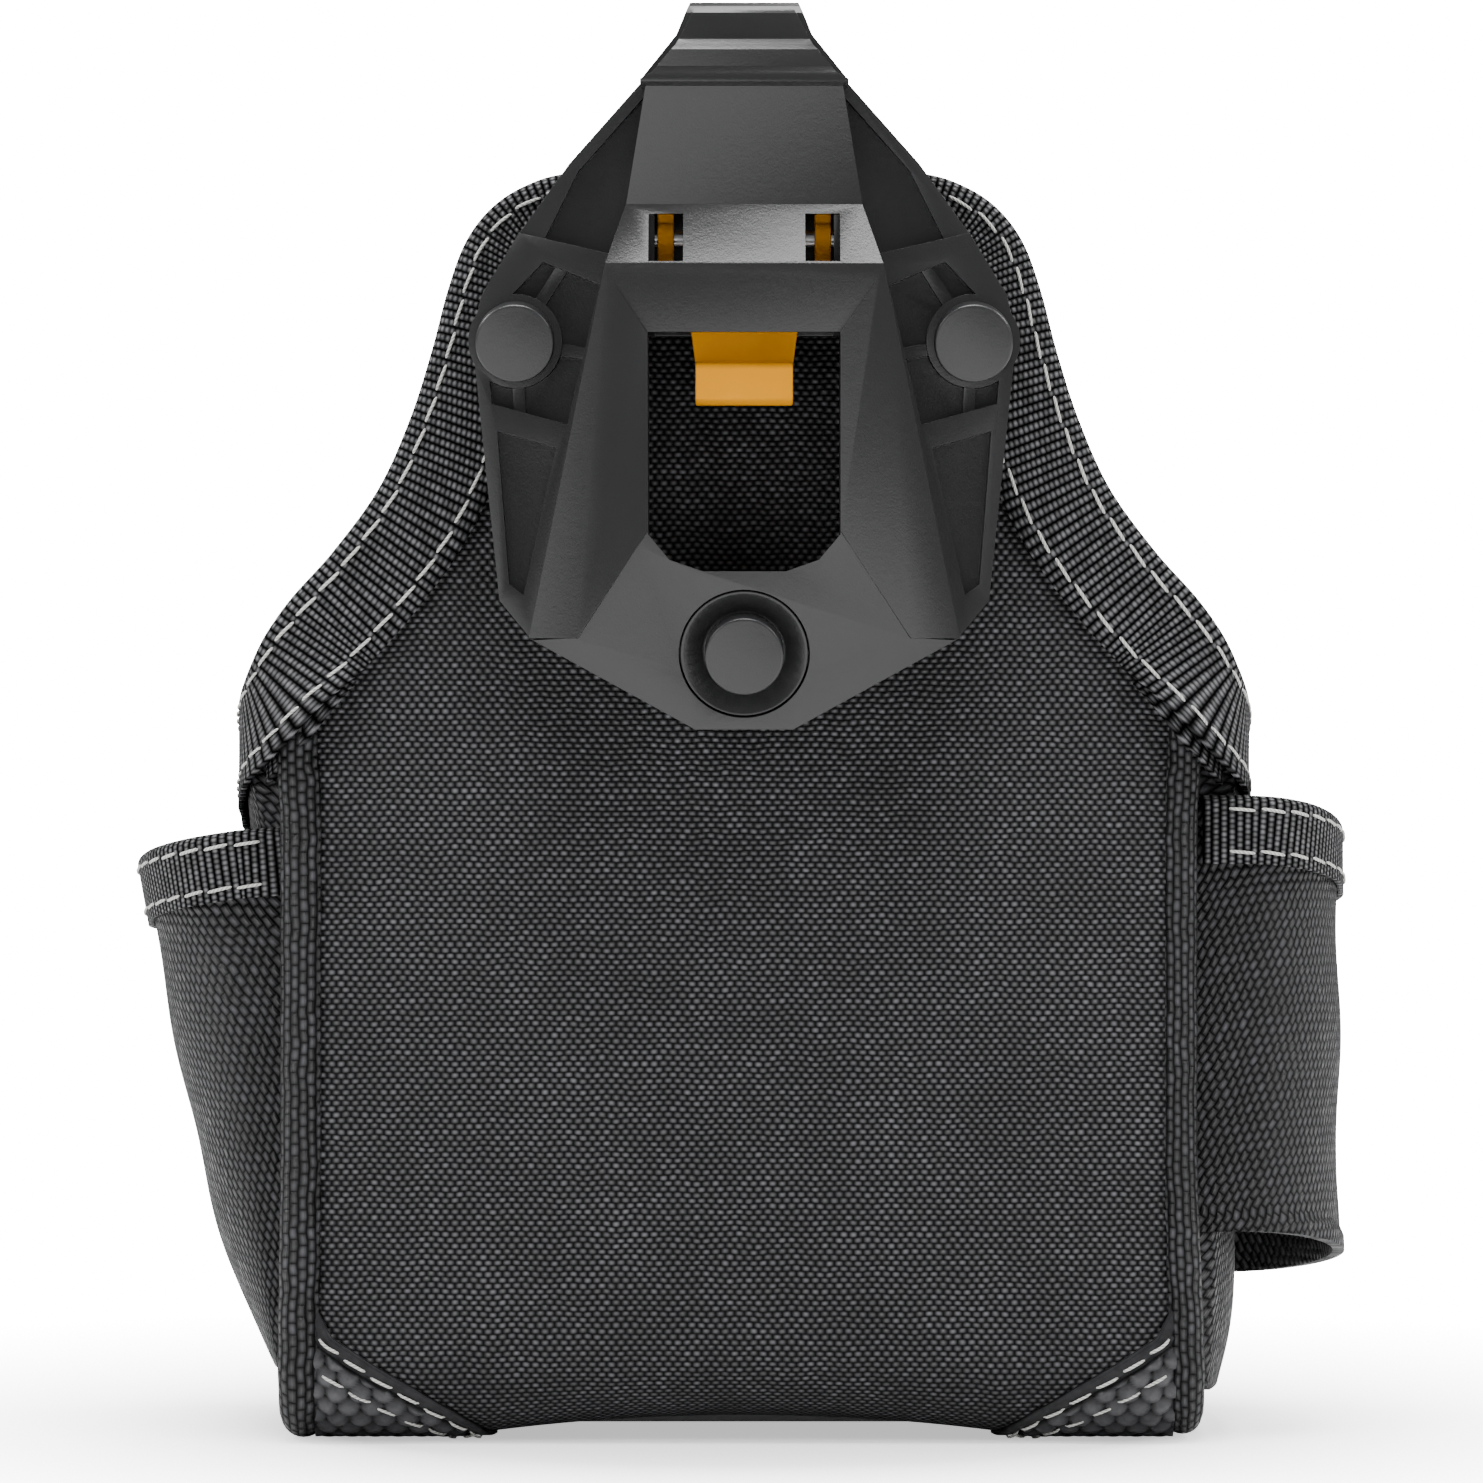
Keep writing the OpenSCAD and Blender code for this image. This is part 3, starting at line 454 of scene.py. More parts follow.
def folded_tape(line, face, into, gap, width, closed=False):
    """Rings of a folded tape: the outer hairpin is a tape's thickness outside the inner one. Its
    free edges pucker by 0.16 sin(2 pi s / 17) mm, which fades with the square towards the fold."""
    side, depth = tape_section(width)
    gap = np.broadcast_to(gap, len(line))[:, None]
    s = lengths(np.concatenate([line, line[:1]]) if closed else line)
    ripple = 0.16 * np.sin(s[: len(line), None] * 2 * np.pi / 17) * (depth / width) ** 2
    layer = lambda grow, drop: (
        line[:, None]
        + face[:, None] * (side * (gap + grow) + ripple)[..., None]
        + into[:, None] * (depth + drop * (1 - np.abs(side)))[None, :, None]
    )
    outer, inner = layer(TAPE_T, 0.0), layer(0.0, TAPE_T)
    rings = np.concatenate([outer, inner[:, ::-1]], 1)
    round_it = np.concatenate([[0], np.cumsum(np.hypot(np.diff(side * 3.0), np.diff(depth)))])
    v = np.concatenate([round_it, round_it[::-1], round_it[:1]])
    return skin(rings, s, v, closed)


def on_tape(line, face, into, gap, depth, inside):
    """A line on a leaf of the tape at that depth from the fold, and the leaf's normal."""
    sign = -1 if inside else 1
    off = sign * (np.broadcast_to(gap, len(line)) + TAPE_T)
    return line + face * off[:, None] + into * depth, face * sign


tape = folded_tape(mouth, mouth_face, mouth_in, mouth_gap, MOUTH_TAPE, closed=True)
build("mouth_binding_tape", [tape], TAPE, ["mouth_binding"])
seam = [np.concatenate([a, a[:1]]) for a in (mouth, mouth_face, mouth_in, mouth_gap)]
rows = [on_tape(*seam, depth, inside) for depth in (3.3, MOUTH_TAPE - 3.2) for inside in (False, True)]
build("mouth_stitches", [stitches(*r) for r in rows], THREAD)

# %% [markdown]
# ## The box
# Back, bottom and front follow one strip that turns under the pouch. The back is stiffened by
# a board, so it stays nearly flat; lower down the cloth is a little full, and near the piping the
# seam pulls it in. Between the corner patches the bottom edge rises off the floor.


# %% The strip that wraps under the pouch
ARC = BEND_R * np.pi / 2
FULL_TO = 128  # the cloth is full up to this distance along the wrap


def wrap(x, s, out=0.0):
    """A point of the wrap: s is the distance up from where the bottom's flat ends, out is outward.
    Below 0 the strip is flat, to ARC it turns through a quarter circle, then it stands."""
    a = np.clip(s / BEND_R, 0, np.pi / 2)
    y = BEND_R - (BEND_R + out) * np.sin(a) + np.maximum(0, -s)
    z = BEND_R + PATCH_T - (BEND_R + out) * np.cos(a) + np.maximum(0, s - ARC)
    lift = 3.0 * np.clip(1 - (x / 47) ** 2, 0, 1) * (1 - ease(s, 4, 26))
    return np.stack(np.broadcast_arrays(x, y, z + lift), -1)


def fullness(x, s):
    """How far the cloth stands out: a pillow over the lower part, slow waves, puckers that die away
    from the seams, and the seams' own pull."""
    swell = np.sin(np.pi * np.clip(s / FULL_TO, 0, 1))
    pillow = 0.8 * np.cos(np.pi * x / 160) * swell
    seam = np.abs(x) - PANEL_X
    pucker = 0.22 * np.exp(seam / 6) * np.sin(2 * np.pi * s / 11 + 1.3 * np.sin(s / 17)) * (s < FULL_TO)
    drape = 0.25 * np.sin(x / 19 + 0.8 * np.sin(s / 23)) * swell
    return pillow + pucker + drape - 1.9 * ease(np.abs(x), 76.5, 79.8) * (1 - ease(s, 130, 150))


edge = mouth + mouth_in * 1.6
edge = edge[(mouth[:, 0] > 3) & (mouth[:, 1] < 2.3)]
edge_z = np.append([0, 118, 126, 142], edge[::-1, 2])
edge_x = np.append([79.8, 79.8, 81.5, 81.5], edge[::-1, 0])


def wrap_grid(top, out, width=lambda z: PANEL_X + 0 * z, rows=120, cols=90):
    """A grid over the wrap from the bottom's edge to a height, as wide as the cloth is there."""
    s = np.linspace(0, top - BEND_R - PATCH_T + ARC, rows)[:, None]
    z = np.maximum(s - ARC, 0) + BEND_R + PATCH_T
    x = np.sin(np.linspace(-1, 1, cols) * np.pi / 2)[None] * width(z)
    s = np.broadcast_to(s, x.shape)
    full = fullness(x, s) if out == 0 else fullness(x, s) * (z < 120)
    return wrap(x, s, full + out), x, s


half_width = lambda z: np.interp(z, edge_z, edge_x)
outer, x, s = wrap_grid(233.6, 0, half_width)
inner, _, _ = wrap_grid(233.6, -CLOTH_T, half_width)
build("back_panel_cloth", [shell(outer, inner, x, s)], BALLISTIC, ["back_panel"])
outer, x, s = wrap_grid(120.4, 0)
inner, _, _ = wrap_grid(120.4, -CLOTH_T)
to_front = lambda p: p * (1, -1, 1) + (0, BOX_DEPTH, 0)
front = shell(to_front(outer), to_front(inner), x, s)
build("front_panel_cloth", [front], BALLISTIC, ["front_panel"])

# %% Bottom and lining
y = np.linspace(BEND_R, BOX_DEPTH - BEND_R, 40)[:, None]
x = np.linspace(-PANEL_X, PANEL_X, 80)[None]
z = PATCH_T + 3.0 * np.clip(1 - (x / 47) ** 2, 0, 1) + 0 * y
low = np.stack(np.broadcast_arrays(x, y, z), -1)
bottom = shell(low, low + (0, 0, CLOTH_T), x + 0 * y, y + 0 * x)
build("bottom_panel_cloth", [bottom], BALLISTIC, ["bottom_panel"])
z = np.linspace(13, 233.6, 90)[:, None]
x = np.sin(np.linspace(-1, 1, 60) * np.pi / 2)[None] * half_width(z)
y = 3.1 + 0.35 * np.sin(x / 14) * np.sin(z / 21) ** 2
face = np.stack(np.broadcast_arrays(x, y, z), -1)
build("back_lining_cloth", [shell(face, face + (0, 1, 0), x, z + 0 * x)], LINING, ["back_lining"])

# %% [markdown]
# ## Sides and piping
# Each side is a coarse cloth that swells between two piped seams. The piping is a cord wrapped in a
# like cloth; it runs down the back corner, under the box and up the front corner. The right side's
# foot is fuller and its piping thinner and further in than the left's.

# %% Side panels
RIGHT_BELLY, RIGHT_PULL, LEFT_PULL = 4.0, 2.2, 0.8
SIDE_Y0, SIDE_Y1 = PIPE_Y + PIPE_R + 0.2, BOX_DEPTH - PIPE_Y - PIPE_R - 0.2


def side_mid(y, z, belly=0.0):
    """The side's middle surface: a height 9.1 (1 - exp(-(z/24)^1.5)) times a power of the sine of
    the way across, the power falling from 0.6 to 0.2 upwards as the mouth's tape holds the side
    open. belly is how much further the foot of a side stands out where nothing holds it in."""
    across = np.sin(np.pi * np.clip((y - SIDE_Y0 + 1.2) / (SIDE_Y1 - SIDE_Y0 + 2.4), 0.001, 0.999))
    rise = 9.1 * (1 - np.exp(-((np.maximum(z, 0) / 24) ** 1.5)))
    rise = rise + belly * (1 - ease(z, 14, 50)) * across**0.2
    return PIPE_X + 0.5 + rise * across ** np.interp(z, [20, 112, 137], [0.6, 0.48, 0.2])


def side_low(y):
    """The side's lower edge, which follows the piping's round corners."""
    r, c = PIPE_BEND - PIPE_R - 0.2, PIPE_Y + PIPE_BEND
    d = np.maximum(0, np.maximum(c - y, y - BOX_DEPTH + c))
    return PIPE_R + PIPE_BEND - np.sqrt(np.maximum(0, r * r - d * d)) + 0.2


def side_part(belly, pull):
    """Both faces of a side, from its lower edge to just under the tape's fold."""
    v = np.linspace(0, 1, 70)[:, None]
    y = ((SIDE_Y0 + SIDE_Y1) / 2 - (SIDE_Y1 - SIDE_Y0) / 2 * np.cos(np.pi * np.linspace(0, 1, 60)))[None]
    top = np.interp(y, MOUTH[12:22, 1], MOUTH[12:22, 2]) - 1.7
    z = side_low(y) + (top - side_low(y)) * v
    in_tape = ease(z, top - 30, top - 13)
    x = side_mid(y, z, belly) * (1 - in_tape) + np.interp(y, MOUTH[12:22, 1], MOUTH[12:22, 0]) * in_tape
    across = np.sin(np.pi * np.clip((y - SIDE_Y0) / (SIDE_Y1 - SIDE_Y0), 0, 1))
    x = x + 0.3 * np.sin(z / 8 + y / 15) * np.sin(np.pi * v) * across
    x = x - (pull + 5.0 * in_tape) * (1 - ease(across, 0, 0.18))
    mid = np.stack(np.broadcast_arrays(x, y, z), -1)
    return shell(mid + (SIDE_T / 2, 0, 0), mid - (SIDE_T / 2, 0, 0), y + 0 * z, z)


build("right_side_cloth", [side_part(RIGHT_BELLY, RIGHT_PULL)], COARSE, ["right_side_panel"])
build("left_side_cloth", [flip_x(side_part(0.0, LEFT_PULL))], COARSE, ["left_side_panel"])

# %% Piping
def drawn_in(z, most):
    """How far a seam is pulled towards the middle of the pouch: most above the foot of the side."""
    return most * (0.3 + 0.7 * ease(z, 5, 60))


def piping_part(radius, pull):
    """A round tube along the seam: straight, quarter turn, straight, quarter turn, straight. The
    cloth over the cord is drawn in slightly where the seam's needle passes, every 9 mm."""
    t = np.linspace(0, np.pi / 2, 20)
    c = PIPE_Y + PIPE_BEND
    down = np.stack([0 * t[:1] + PIPE_Y, 0 * t[:1] + 138], -1)
    back = np.stack([c - PIPE_BEND * np.cos(t), c + 1 - PIPE_BEND * np.sin(t)], -1)
    line = np.concatenate([down, back, back[::-1] * (-1, 1) + (BOX_DEPTH, 0), [[BOX_DEPTH - PIPE_Y, 109]]])
    s = lengths(line)
    at = np.linspace(0, s[-1], 300)
    y, z = np.interp(at, s, line[:, 0]), np.interp(at, s, line[:, 1])
    x = PIPE_X - drawn_in(z, pull) + 0.8 * ease(z, 112, 132) * (y < MID_Y)
    centre = np.stack([x, y, z], -1)
    way = unit(np.gradient(centre, axis=0))
    out = unit(np.cross(way, np.array([1.0, 0, 0])))
    turn = np.linspace(0, 2 * np.pi, 28, endpoint=False)
    r = radius * (1 - 0.012 * np.sin(at * 2 * np.pi / 9))[:, None, None]
    rings = centre[:, None] + r * (np.cos(turn)[:, None] * (1, 0, 0) + np.sin(turn)[:, None] * out[:, None])
    return skin(rings, at, np.linspace(0, 2 * np.pi * PIPE_R, 29))


build("right_piping_cloth", [piping_part(3.6, RIGHT_PULL)], CORDED, ["right_piping"])
build("left_piping_cloth", [flip_x(piping_part(PIPE_R, LEFT_PULL))], CORDED, ["left_piping"])

# %% [markdown]
# ## Corner patches
# The lower corners are covered by rubberised cloth embossed with overlapping scales. The emboss is
# real relief here, because it shows in the outline and under slanting light. The curved edge is
# folded under, which leaves a smooth hem, and two rows of stitches hold it.


# %% Embossed patches
def scales(a, b, wide, tall):
    """Height from 0 to 1 of overlapping scales: the greatest of several domes on a staggered grid,
    each tilted so that its lower rim stands proud of the next row."""
    best = np.zeros(np.broadcast(a, b).shape)
    row0 = np.floor(b / tall)
    for dr in (-1, 0, 1):
        row = row0 + dr
        shift = (row % 2) * 0.5
        col0 = np.floor(a / wide - shift)
        for dc in (0, 1):
            x = (a / wide - shift - col0 - dc) * wide
            y = b - (row + 0.5) * tall
            dome = np.clip(1 - (x / 2.2) ** 2 - (y / 2.2) ** 2, 0, 1) ** 0.5
            best = np.maximum(best, dome * (0.8 - 0.16 * y))
    return best


SEAM_S = np.array([-14, -8, 0, 7.5, 12.4, 17.8, 22.7, 27.3, 33.5])
SEAM_X = np.array([77.2, 66, 46, 49, 53.5, 61, 69, 76, 79.4])
PATCH_X = 79.8


def patch_part():
    """A patch over the wrap: each row runs from the seam's curve to the piping. Also the height of
    its emboss at each point, from 0 to 1, with 0.3 on the hem's ridge, which the material paints as shade
    and highlight."""
    s = np.linspace(SEAM_S[0], SEAM_S[-1], 130)[:, None]
    from_x = np.interp(s, SEAM_S, SEAM_X)
    x = from_x + (PATCH_X - from_x) * np.linspace(0, 1, 84)[None]
    s = np.broadcast_to(s, x.shape)
    slope = np.abs(np.gradient(from_x[:, 0], s[:, 0]))[:, None]
    from_hem = (x - from_x) / np.hypot(1, slope)
    relief = scales(x, s, 4.3, 3.1) * ease(from_hem, 2.9, 3.7)
    hem = 0.55 * (1 - ease(from_hem, 2.0, 3.0)) * ease(from_hem, -0.3, 0.7)
    tuck = -1.3 * ease(x, 76, 79.6) * ease(s, 3, 12)
    on_floor = 1 - ease(s, -2, 9)
    out = PATCH_T - 0.75 + (1.15 * relief + hem) * (1 - 0.35 * on_floor) + tuck
    top = wrap(x, s, np.minimum(out, PATCH_T + 0.4 * (1 - on_floor)))
    # The emboss height, and 0.3 on the hem's ridge, for the material's painted shade in the grooves and
    # painted highlight on the tops.
    painted_shade_relief = np.maximum(relief, ease(from_hem, -0.3, 0.3) * (1 - ease(from_hem, 2.6, 3.2)) * 0.3)
    under = wrap(x, s, 0.02 + np.minimum(tuck, 0))
    return shell(top, under, x, s), np.concatenate([painted_shade_relief, painted_shade_relief[:, ::-1]], 1).ravel()


def patch_seams():
    """Two rows of stitches beside the patch's curved edge."""
    lines = []
    for inset in (2.0, 6.6):
        s = np.linspace(SEAM_S[2] - 1, SEAM_S[-1] - 0.8, 60)
        x = np.interp(s, SEAM_S, SEAM_X)
        normal2 = unit(np.stack([np.gradient(s), -np.gradient(x)], -1))
        x, s = x + normal2[:, 0] * inset, s + normal2[:, 1] * inset
        keep = (x < PANEL_X + 0.8) & (s > 1.5)
        at = wrap(x[keep], s[keep], PATCH_T - 0.1)
        lines.append((at, unit(at - wrap(x[keep], s[keep], -2.0))))
    return [stitches(*line, length=4.6) for line in lines]


front_of = lambda part: (part[0] * (1, -1, 1) + (0, BOX_DEPTH, 0), part[1], part[2])
patch, relief = patch_part()
pair = [patch, flip_x(patch)]
build("back_patches_scales", pair, RUBBER, ["back_corner_patches"], relief=relief)
pair = [front_of(p) for p in pair]
build("front_patches_scales", pair, RUBBER, ["front_corner_patches"], relief=relief)
seams = patch_seams()
seams += [flip_x(p) for p in seams]
build("patch_stitches", seams + [front_of(p) for p in seams], THREAD)

# %% [markdown]
# ## Pockets
# The closed pocket on the left tapers to nothing at its foot. The sleeve on the right is open at both
# ends, for a long shaft. Both are one piece of coarse cloth sewn down at the back and front edges.

# %% Side pockets
POCKET_HALF, SLACK = 34.4, 0.25


def pocket_point(a, z, rise, power, belly, pull):
    """A pocket's inner face at arc angle a (degrees) and height z: the side's surface plus rise
    times a power of sin a. Its two ends turn in against the piping, where they are sewn."""
    y = MID_Y - POCKET_HALF * np.cos(np.radians(a))
    bulge = rise * np.maximum(np.sin(np.radians(a)), 0) ** power
    turned_in = 1 - ease(np.sin(np.radians(a)), 0.0, 0.16)
    x = side_mid(y, z, belly) + SIDE_T / 2 + SLACK + bulge - (2.4 + pull) * turned_in
    return np.stack(np.broadcast_arrays(x, y - 1.1 * turned_in * np.cos(np.radians(a)), z), -1)


y_at = lambda a: MID_Y - POCKET_HALF * np.cos(np.radians(a))
slope_down = lambda z_back, drop, a: z_back - drop * (y_at(a) - 7) / 70
LEFT_MOUTH, LEFT_DROP, LEFT_SAG, LEFT_RISE = 114.3, 8, 2.6, 19.4
SLEEVE_MOUTH, SLEEVE_FOOT, SLEEVE_DROP, SLEEVE_RISE = 120, 39, 13, 17.6
left_sag = lambda a: LEFT_SAG * np.maximum(np.sin(np.radians(a)), 0) ** 0.62
left_z = lambda a: slope_down(LEFT_MOUTH, LEFT_DROP, a) - left_sag(a)
left_foot = lambda a: np.maximum(13.5, side_low(y_at(a)))
sleeve_z = lambda a: slope_down(SLEEVE_MOUTH, SLEEVE_DROP, a)


def left_point(a, z):
    """The closed pocket: its bulge grows from nothing at the foot with the 0.85 power of height."""
    v = np.maximum(z - left_foot(a), 0) / (left_z(a) - left_foot(a))
    return pocket_point(a, z, LEFT_RISE * v**0.85, 0.62, 0.0, LEFT_PULL)


def sleeve_point(a, z):
    """The open sleeve: nearly the same bulge all the way down."""
    return pocket_point(a, z, SLEEVE_RISE + (SLEEVE_MOUTH - z) * 0.01, 0.55, RIGHT_BELLY, RIGHT_PULL)


def pocket_shell(point, z_low, z_high, thick=lambda v: CLOTH_T + 0 * v):
    """Both faces of a pocket between two heights, each given for the arc angle."""
    v, a = np.linspace(0, 1, 90)[:, None], np.linspace(0, 180, 90)[None]
    z = z_low(a) + (z_high(a) - z_low(a)) * v
    crease = 0.5 * np.sin(z / 6.5 + a / 31) * np.sin(np.radians(a)) ** 2 * np.sin(np.pi * v)
    inner = point(a, z) + crease[..., None] * (1, 0, 0)
    u, w = flat_map(inner)
    return shell(inner + thick(v)[..., None] * (1, 0, 0), inner, u, w)


def rim_tape(line, low):
    """Folded tape along a pocket's rim, leaning the way the cloth under it does: low is the same
    line one tape's width further down the cloth. Also its two rows of stitches on each leaf."""
    way = unit(np.gradient(line, axis=0))
    lean = low - line
    into = unit(lean - way * np.sum(lean * way, -1, keepdims=True))
    face = unit(np.cross(into, way))
    seam = line, face, into, CLOTH_T / 2 + 0.1
    tape = folded_tape(*seam, POCKET_TAPE)
    rows = [on_tape(*seam, depth, inside) for depth in (2.6, POCKET_TAPE - 2.2) for inside in (False, True)]
    return tape, [stitches(p[3:-3], n[3:-3]) for p, n in rows]


def pocket_tape(point, z_at):
    """The tape of a side pocket whose mouth is at height z_at."""
    a = np.linspace(0.5, 179.5, 180)
    middle = (CLOTH_T / 2, 0, 0)
    return rim_tape(point(a, z_at(a)) + middle, point(a, z_at(a) - POCKET_TAPE) + middle)


left = pocket_shell(left_point, left_foot, lambda a: left_z(a) - 1.8)
build("left_pocket_cloth", [flip_x(left)], COARSE, ["left_pocket"])
hem_thick = lambda v: CLOTH_T + 0.7 * (1 - ease(v, 0.04, 0.05))
sleeve_low = lambda a: slope_down(SLEEVE_FOOT, SLEEVE_DROP, a)
sleeve = pocket_shell(sleeve_point, sleeve_low, lambda a: sleeve_z(a) - 1.8, hem_thick)
build("right_sleeve_cloth", [sleeve], COARSE, ["right_tool_sleeve"])
tape, rows = pocket_tape(left_point, left_z)
build("left_pocket_tape", [flip_x(tape)], TAPE, ["left_pocket_binding"])
build("left_pocket_stitches", [flip_x(r) for r in rows], THREAD)
tape, rows = pocket_tape(sleeve_point, sleeve_z)
build("right_sleeve_tape", [tape], TAPE, ["right_sleeve_binding"])
build("right_sleeve_stitches", rows, THREAD)

# %% Front pocket
FRONT_HALF, FRONT_RISE, FRONT_Z, FRONT_FOOT = 62.0, 20.0, 74.0, 18.0


def front_point(a, z, rise):
    """The front pocket's inner face: the front panel plus rise times sin(a)^0.75."""
    x = FRONT_HALF * np.cos(np.radians(a))
    bulge = rise * np.maximum(np.sin(np.radians(a)), 0) ** 0.75
    return np.stack(np.broadcast_arrays(x, BOX_DEPTH + SLACK + bulge, z), -1)


front_z = lambda a: FRONT_Z - 3 * np.sin(np.radians(a)) ** 2
v, a = np.linspace(0, 1, 70)[:, None], np.linspace(0, 180, 110)[None]
z = FRONT_FOOT + (front_z(a) - 1.6 - FRONT_FOOT) * v
crease = 0.4 * np.sin(z / 6 + a / 24) * np.sin(np.radians(a)) ** 2 * np.sin(np.pi * v)
inner = front_point(a, z, FRONT_RISE * v**0.7 + crease)
u, w = flat_map(inner)
pocket = shell(inner + (0, CLOTH_T, 0), inner, u, w)
build("front_pocket_cloth", [pocket], BALLISTIC, ["front_pocket"])
a = np.linspace(1.5, 178.5, 220)
low = (FRONT_Z - POCKET_TAPE - FRONT_FOOT) / (FRONT_Z - FRONT_FOOT)
middle = (0, CLOTH_T / 2, 0)
under = front_point(a, front_z(a) - POCKET_TAPE, FRONT_RISE * low**0.7)
tape, rows = rim_tape(front_point(a, front_z(a), FRONT_RISE) + middle, under + middle)
build("front_pocket_tape", [tape], TAPE, ["front_pocket_binding"])
build("front_pocket_stitches", rows, THREAD)

# %% [markdown]
# ## Tool loops
# One length of webbing is sewn down at intervals and left loose between, so that it makes arches.


# %% Webbing arches
def loop_line(count, pitch, rise=7.6, steps=26):
    """The loops' line in plan: flat between the arches, and each arch rise * sin(a)^0.7 high."""
    a = np.linspace(0, np.pi, steps)
    arch = np.stack([-0.33 * pitch * np.cos(a), rise * np.sin(a) ** 0.7], -1)
    middles = (np.arange(count) + 0.5) * pitch - count * pitch / 2
    line = np.concatenate([arch + (m, 0) for m in middles])
    line = np.concatenate([[[-count * pitch / 2, 0]], line, [[count * pitch / 2, 0]]])
    s = lengths(line)
    at = np.linspace(0, s[-1], 40 * count)
    line = np.stack([np.interp(at, s, line[:, k]) for k in (0, 1)], -1)
    for _ in range(2):
        line[1:-1] = (line[:-2] + 2 * line[1:-1] + line[2:]) / 4
    return line, at, middles


def loop_parts(count, pitch, low, tall, depth):
    """The webbing's two faces along the line, and the bar tacks between its arches."""
    line, at, middles = loop_line(count, pitch)
    way = unit(np.gradient(line, axis=0))
    out = np.stack([-way[:, 1], way[:, 0]], -1)
    z = np.linspace(0, tall, 14)[None]
    plan = lambda grow: (line + out * grow)[:, None, :]
    grid = lambda grow: np.stack(
        np.broadcast_arrays(plan(grow)[..., 0], plan(grow)[..., 1] + depth, z + low), -1)
    web = shell(grid(1.4), grid(0.0), at[:, None] + 0 * z, z + 0 * at[:, None])
    tacks = []
    for x in np.append(middles - pitch / 2, middles[-1] + pitch / 2):
        for dx in (-1.6, 1.6):
            edge = np.clip(x + dx, middles[0] - pitch / 2 + 1.2, middles[-1] + pitch / 2 - 1.2)
            up = np.linspace(low + 1.5, low + tall - 1.5, 30)
            tack = np.stack([0 * up + edge, 0 * up + depth + 1.45, up], -1)
            tacks.append(stitches(tack, np.tile([0.0, 1.0, 0.0], (30, 1)), length=2.4, gap=0.5, radius=0.4))
    return web, tacks


web, tacks = loop_parts(4, 34, 81, 20, BOX_DEPTH + 0.02)
build("front_loop_webbing", [web], TAPE, ["front_tool_loops"])
build("front_loop_tacks", tacks, THREAD)
web, tacks = loop_parts(3, 36, 96, 25.4, STACK_T + 0.02)
build("inner_loop_webbing", [web], TAPE, ["inner_tool_loops"])
build("inner_loop_tacks", tacks, THREAD)

# %% [markdown]
# ## The clip
# The plate, liner, latch, rivets and dish are injection mouldings. A mould's edges are never sharp:
# each has a small radius that catches the light as a thin bright line. The CAD solids have sharp
# edges, so each gets a merged copy with a bevel. The bevel stops where the shortest edge would fold
# over, so a piece with fine curves, like the plate, gets less of a radius than it asks for.


# %% Moulded copies with radiused edges
def moulded(node, material, radius, body="pouch"):
    """A merged copy of a CAD piece whose edges over 24 degrees get up to that radius, in mm. Its
    slivers under 0.15 mm are closed first, because the shortest edge limits the radius."""
    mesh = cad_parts[node].data.copy()
    mesh.name = node + "_moulded"
    bm = bmesh.new()
    bm.from_mesh(mesh)
    bmesh.ops.remove_doubles(bm, verts=bm.verts, dist=2e-6)
    bmesh.ops.dissolve_limit(bm, angle_limit=0.01, verts=bm.verts, edges=bm.edges)
    bmesh.ops.remove_doubles(bm, verts=bm.verts, dist=1.5e-4)
    bmesh.ops.dissolve_limit(bm, angle_limit=0.01, verts=bm.verts, edges=bm.edges)
    bm.to_mesh(mesh)
    bm.free()
    mesh.materials.clear()
    mesh.materials.append(material)
    mesh.shade_smooth()
    piece = bpy.data.objects.new(node + "_moulded", mesh)
    bpy.context.collection.objects.link(piece)
    bevel = piece.modifiers.new("radius", "BEVEL")
    bevel.width = radius * MM
    bevel.segments = 3
    bevel.limit_method = "ANGLE"
    bevel.angle_limit = np.radians(24)
    bevel.harden_normals = True
    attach(piece, body)
    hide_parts(node)
    print(piece.name, len(mesh.polygons), "faces before its bevel")
    return piece


moulded("clip_plate", PLASTIC, 0.42)
moulded("clip_liner", PLASTIC, 0.3)
moulded("latch_lever", YELLOW, 0.4, body="latch")
moulded("upper_rivets", RIVET, 0.5)
moulded("lower_rivet", RIVET, 0.5)
moulded("lower_rivet_dish", PLASTIC, 0.3)
moulded("rivet_washers", STEEL, 0.3)

# %% Pieces shown as the CAD drew them
AS_DRAWN = {"latch_pin": STEEL, "latch_spring": STEEL, "back_board": BOARD, "bottom_board": BOARD}
for node, material in AS_DRAWN.items():
    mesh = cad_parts[node].data
    mesh.materials.clear()
    mesh.materials.append(material)
print("kept as drawn:", list(AS_DRAWN))

# %% [markdown]
# ## Studio
# A pale floor that glows white away from the pouch, a large soft light above, one at each side in
# front, one behind, and two small ones at the sides that draw the rims.

# %% Floor, lights and camera
BACKDROP, AMBIENT = 22.0, 0.34
FLOOR = Shader("pale_floor", (0.93, 0.93, 0.93), 0.9, specular=0.1)
place = FLOOR.node("SeparateXYZ")
FLOOR.set(place, 0, FLOOR.place())
squares = [FLOOR.math("POWER", place.outputs[k], 2.0) for k in (0, 1)]
away = FLOOR.math("SQRT", FLOOR.math("ADD", *squares))
seen = FLOOR.node("LightPath").outputs["Is Camera Ray"]
glow = FLOOR.math("MULTIPLY", FLOOR.span(away, 0.08, 0.4, 0.7, BACKDROP), seen)
FLOOR.set(FLOOR.surface, "Emission Color", (1, 1, 1, 1))
FLOOR.set(FLOOR.surface, "Emission Strength", glow)
n, m = 41, 96
r = np.concatenate([[0.001], np.geomspace(20, 9000, n - 1)])[:, None]
turn = np.linspace(0, 2 * np.pi, m, endpoint=False)[None]
mesh = bpy.data.meshes.new("floor")
i, j = np.meshgrid(np.arange(n - 1), np.arange(m), indexing="ij")
k, l = i + 1, (j + 1) % m
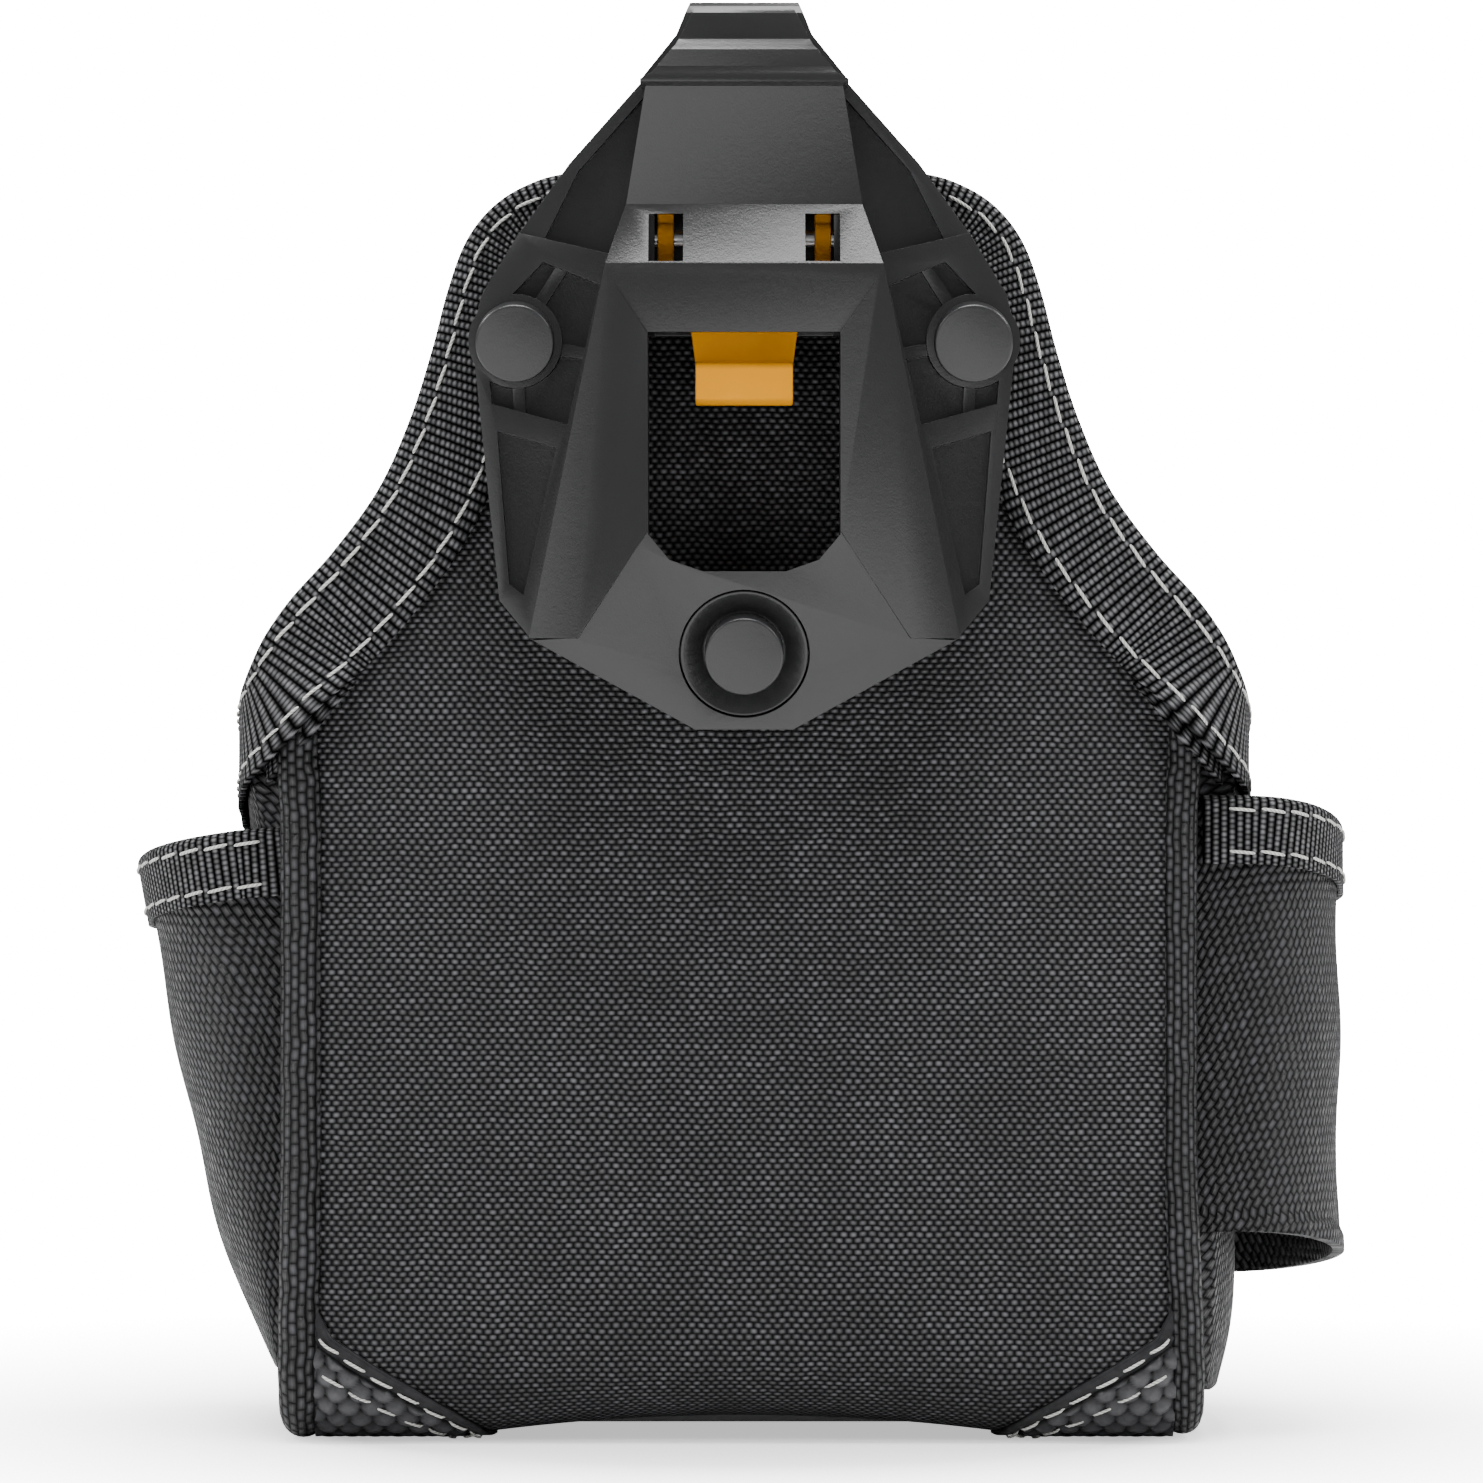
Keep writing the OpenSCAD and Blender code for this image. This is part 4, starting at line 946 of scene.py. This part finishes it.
quads = np.stack([i * m + j, k * m + j, k * m + l, i * m + l], -1).reshape(-1, 4)
points = np.stack(np.broadcast_arrays(r * np.cos(turn), r * np.sin(turn), -0.1 + 0 * r), -1)
points = points.reshape(-1, 3)
mesh.from_pydata((points * MM).tolist(), [], quads.tolist())
mesh.materials.append(FLOOR.material)
floor = bpy.data.objects.new("floor", mesh)
bpy.context.collection.objects.link(floor)

world = bpy.data.worlds.new("studio")
world.use_nodes = True
tree = world.node_tree
bright = tree.nodes.new("ShaderNodeMapRange")
tree.links.new(tree.nodes.new("ShaderNodeLightPath").outputs["Is Camera Ray"], bright.inputs[0])
bright.inputs["To Min"].default_value = AMBIENT
bright.inputs["To Max"].default_value = BACKDROP
tree.nodes["Background"].inputs[0].default_value = (1, 1, 1, 1)
tree.links.new(bright.outputs[0], tree.nodes["Background"].inputs[1])
bpy.context.scene.world = world


def soft_light(name, place, size, power):
    """A square area light that faces the middle of the pouch."""
    data = bpy.data.lights.new(name, "AREA")
    data.size = size
    data.energy = power
    light = bpy.data.objects.new(name, data)
    light.location = place
    way = np.subtract((0, -0.02, 0.15), place)
    pitch = np.arctan2(np.hypot(way[0], way[1]), -way[2])
    light.rotation_euler = (pitch, 0, np.arctan2(way[1], way[0]) - np.pi / 2)
    bpy.context.collection.objects.link(light)


soft_light("overhead", (0, -0.25, 1.5), 0.9, 36)
soft_light("front_left", (-1.2, -0.8, 0.8), 0.45, 9)
soft_light("front_right", (1.2, -0.8, 0.8), 0.45, 9)
soft_light("behind", (0, 1.3, 0.9), 0.9, 8)
soft_light("rim_left", (-0.9, 0.3, 0.9), 0.35, 9)
soft_light("rim_right", (0.9, 0.3, 0.9), 0.35, 9)

camera = bpy.data.objects.new("camera", bpy.data.cameras.new("camera"))
camera.data.sensor_width = 36
camera.data.lens = 171
camera.location = (-0.0005, -1.3 + CENTRE_Y * MM, 0.1298)
camera.rotation_euler = (np.pi / 2, 0, 0)
bpy.context.collection.objects.link(camera)
bpy.context.scene.camera = camera
print("lights:", list(bpy.data.lights.keys()))
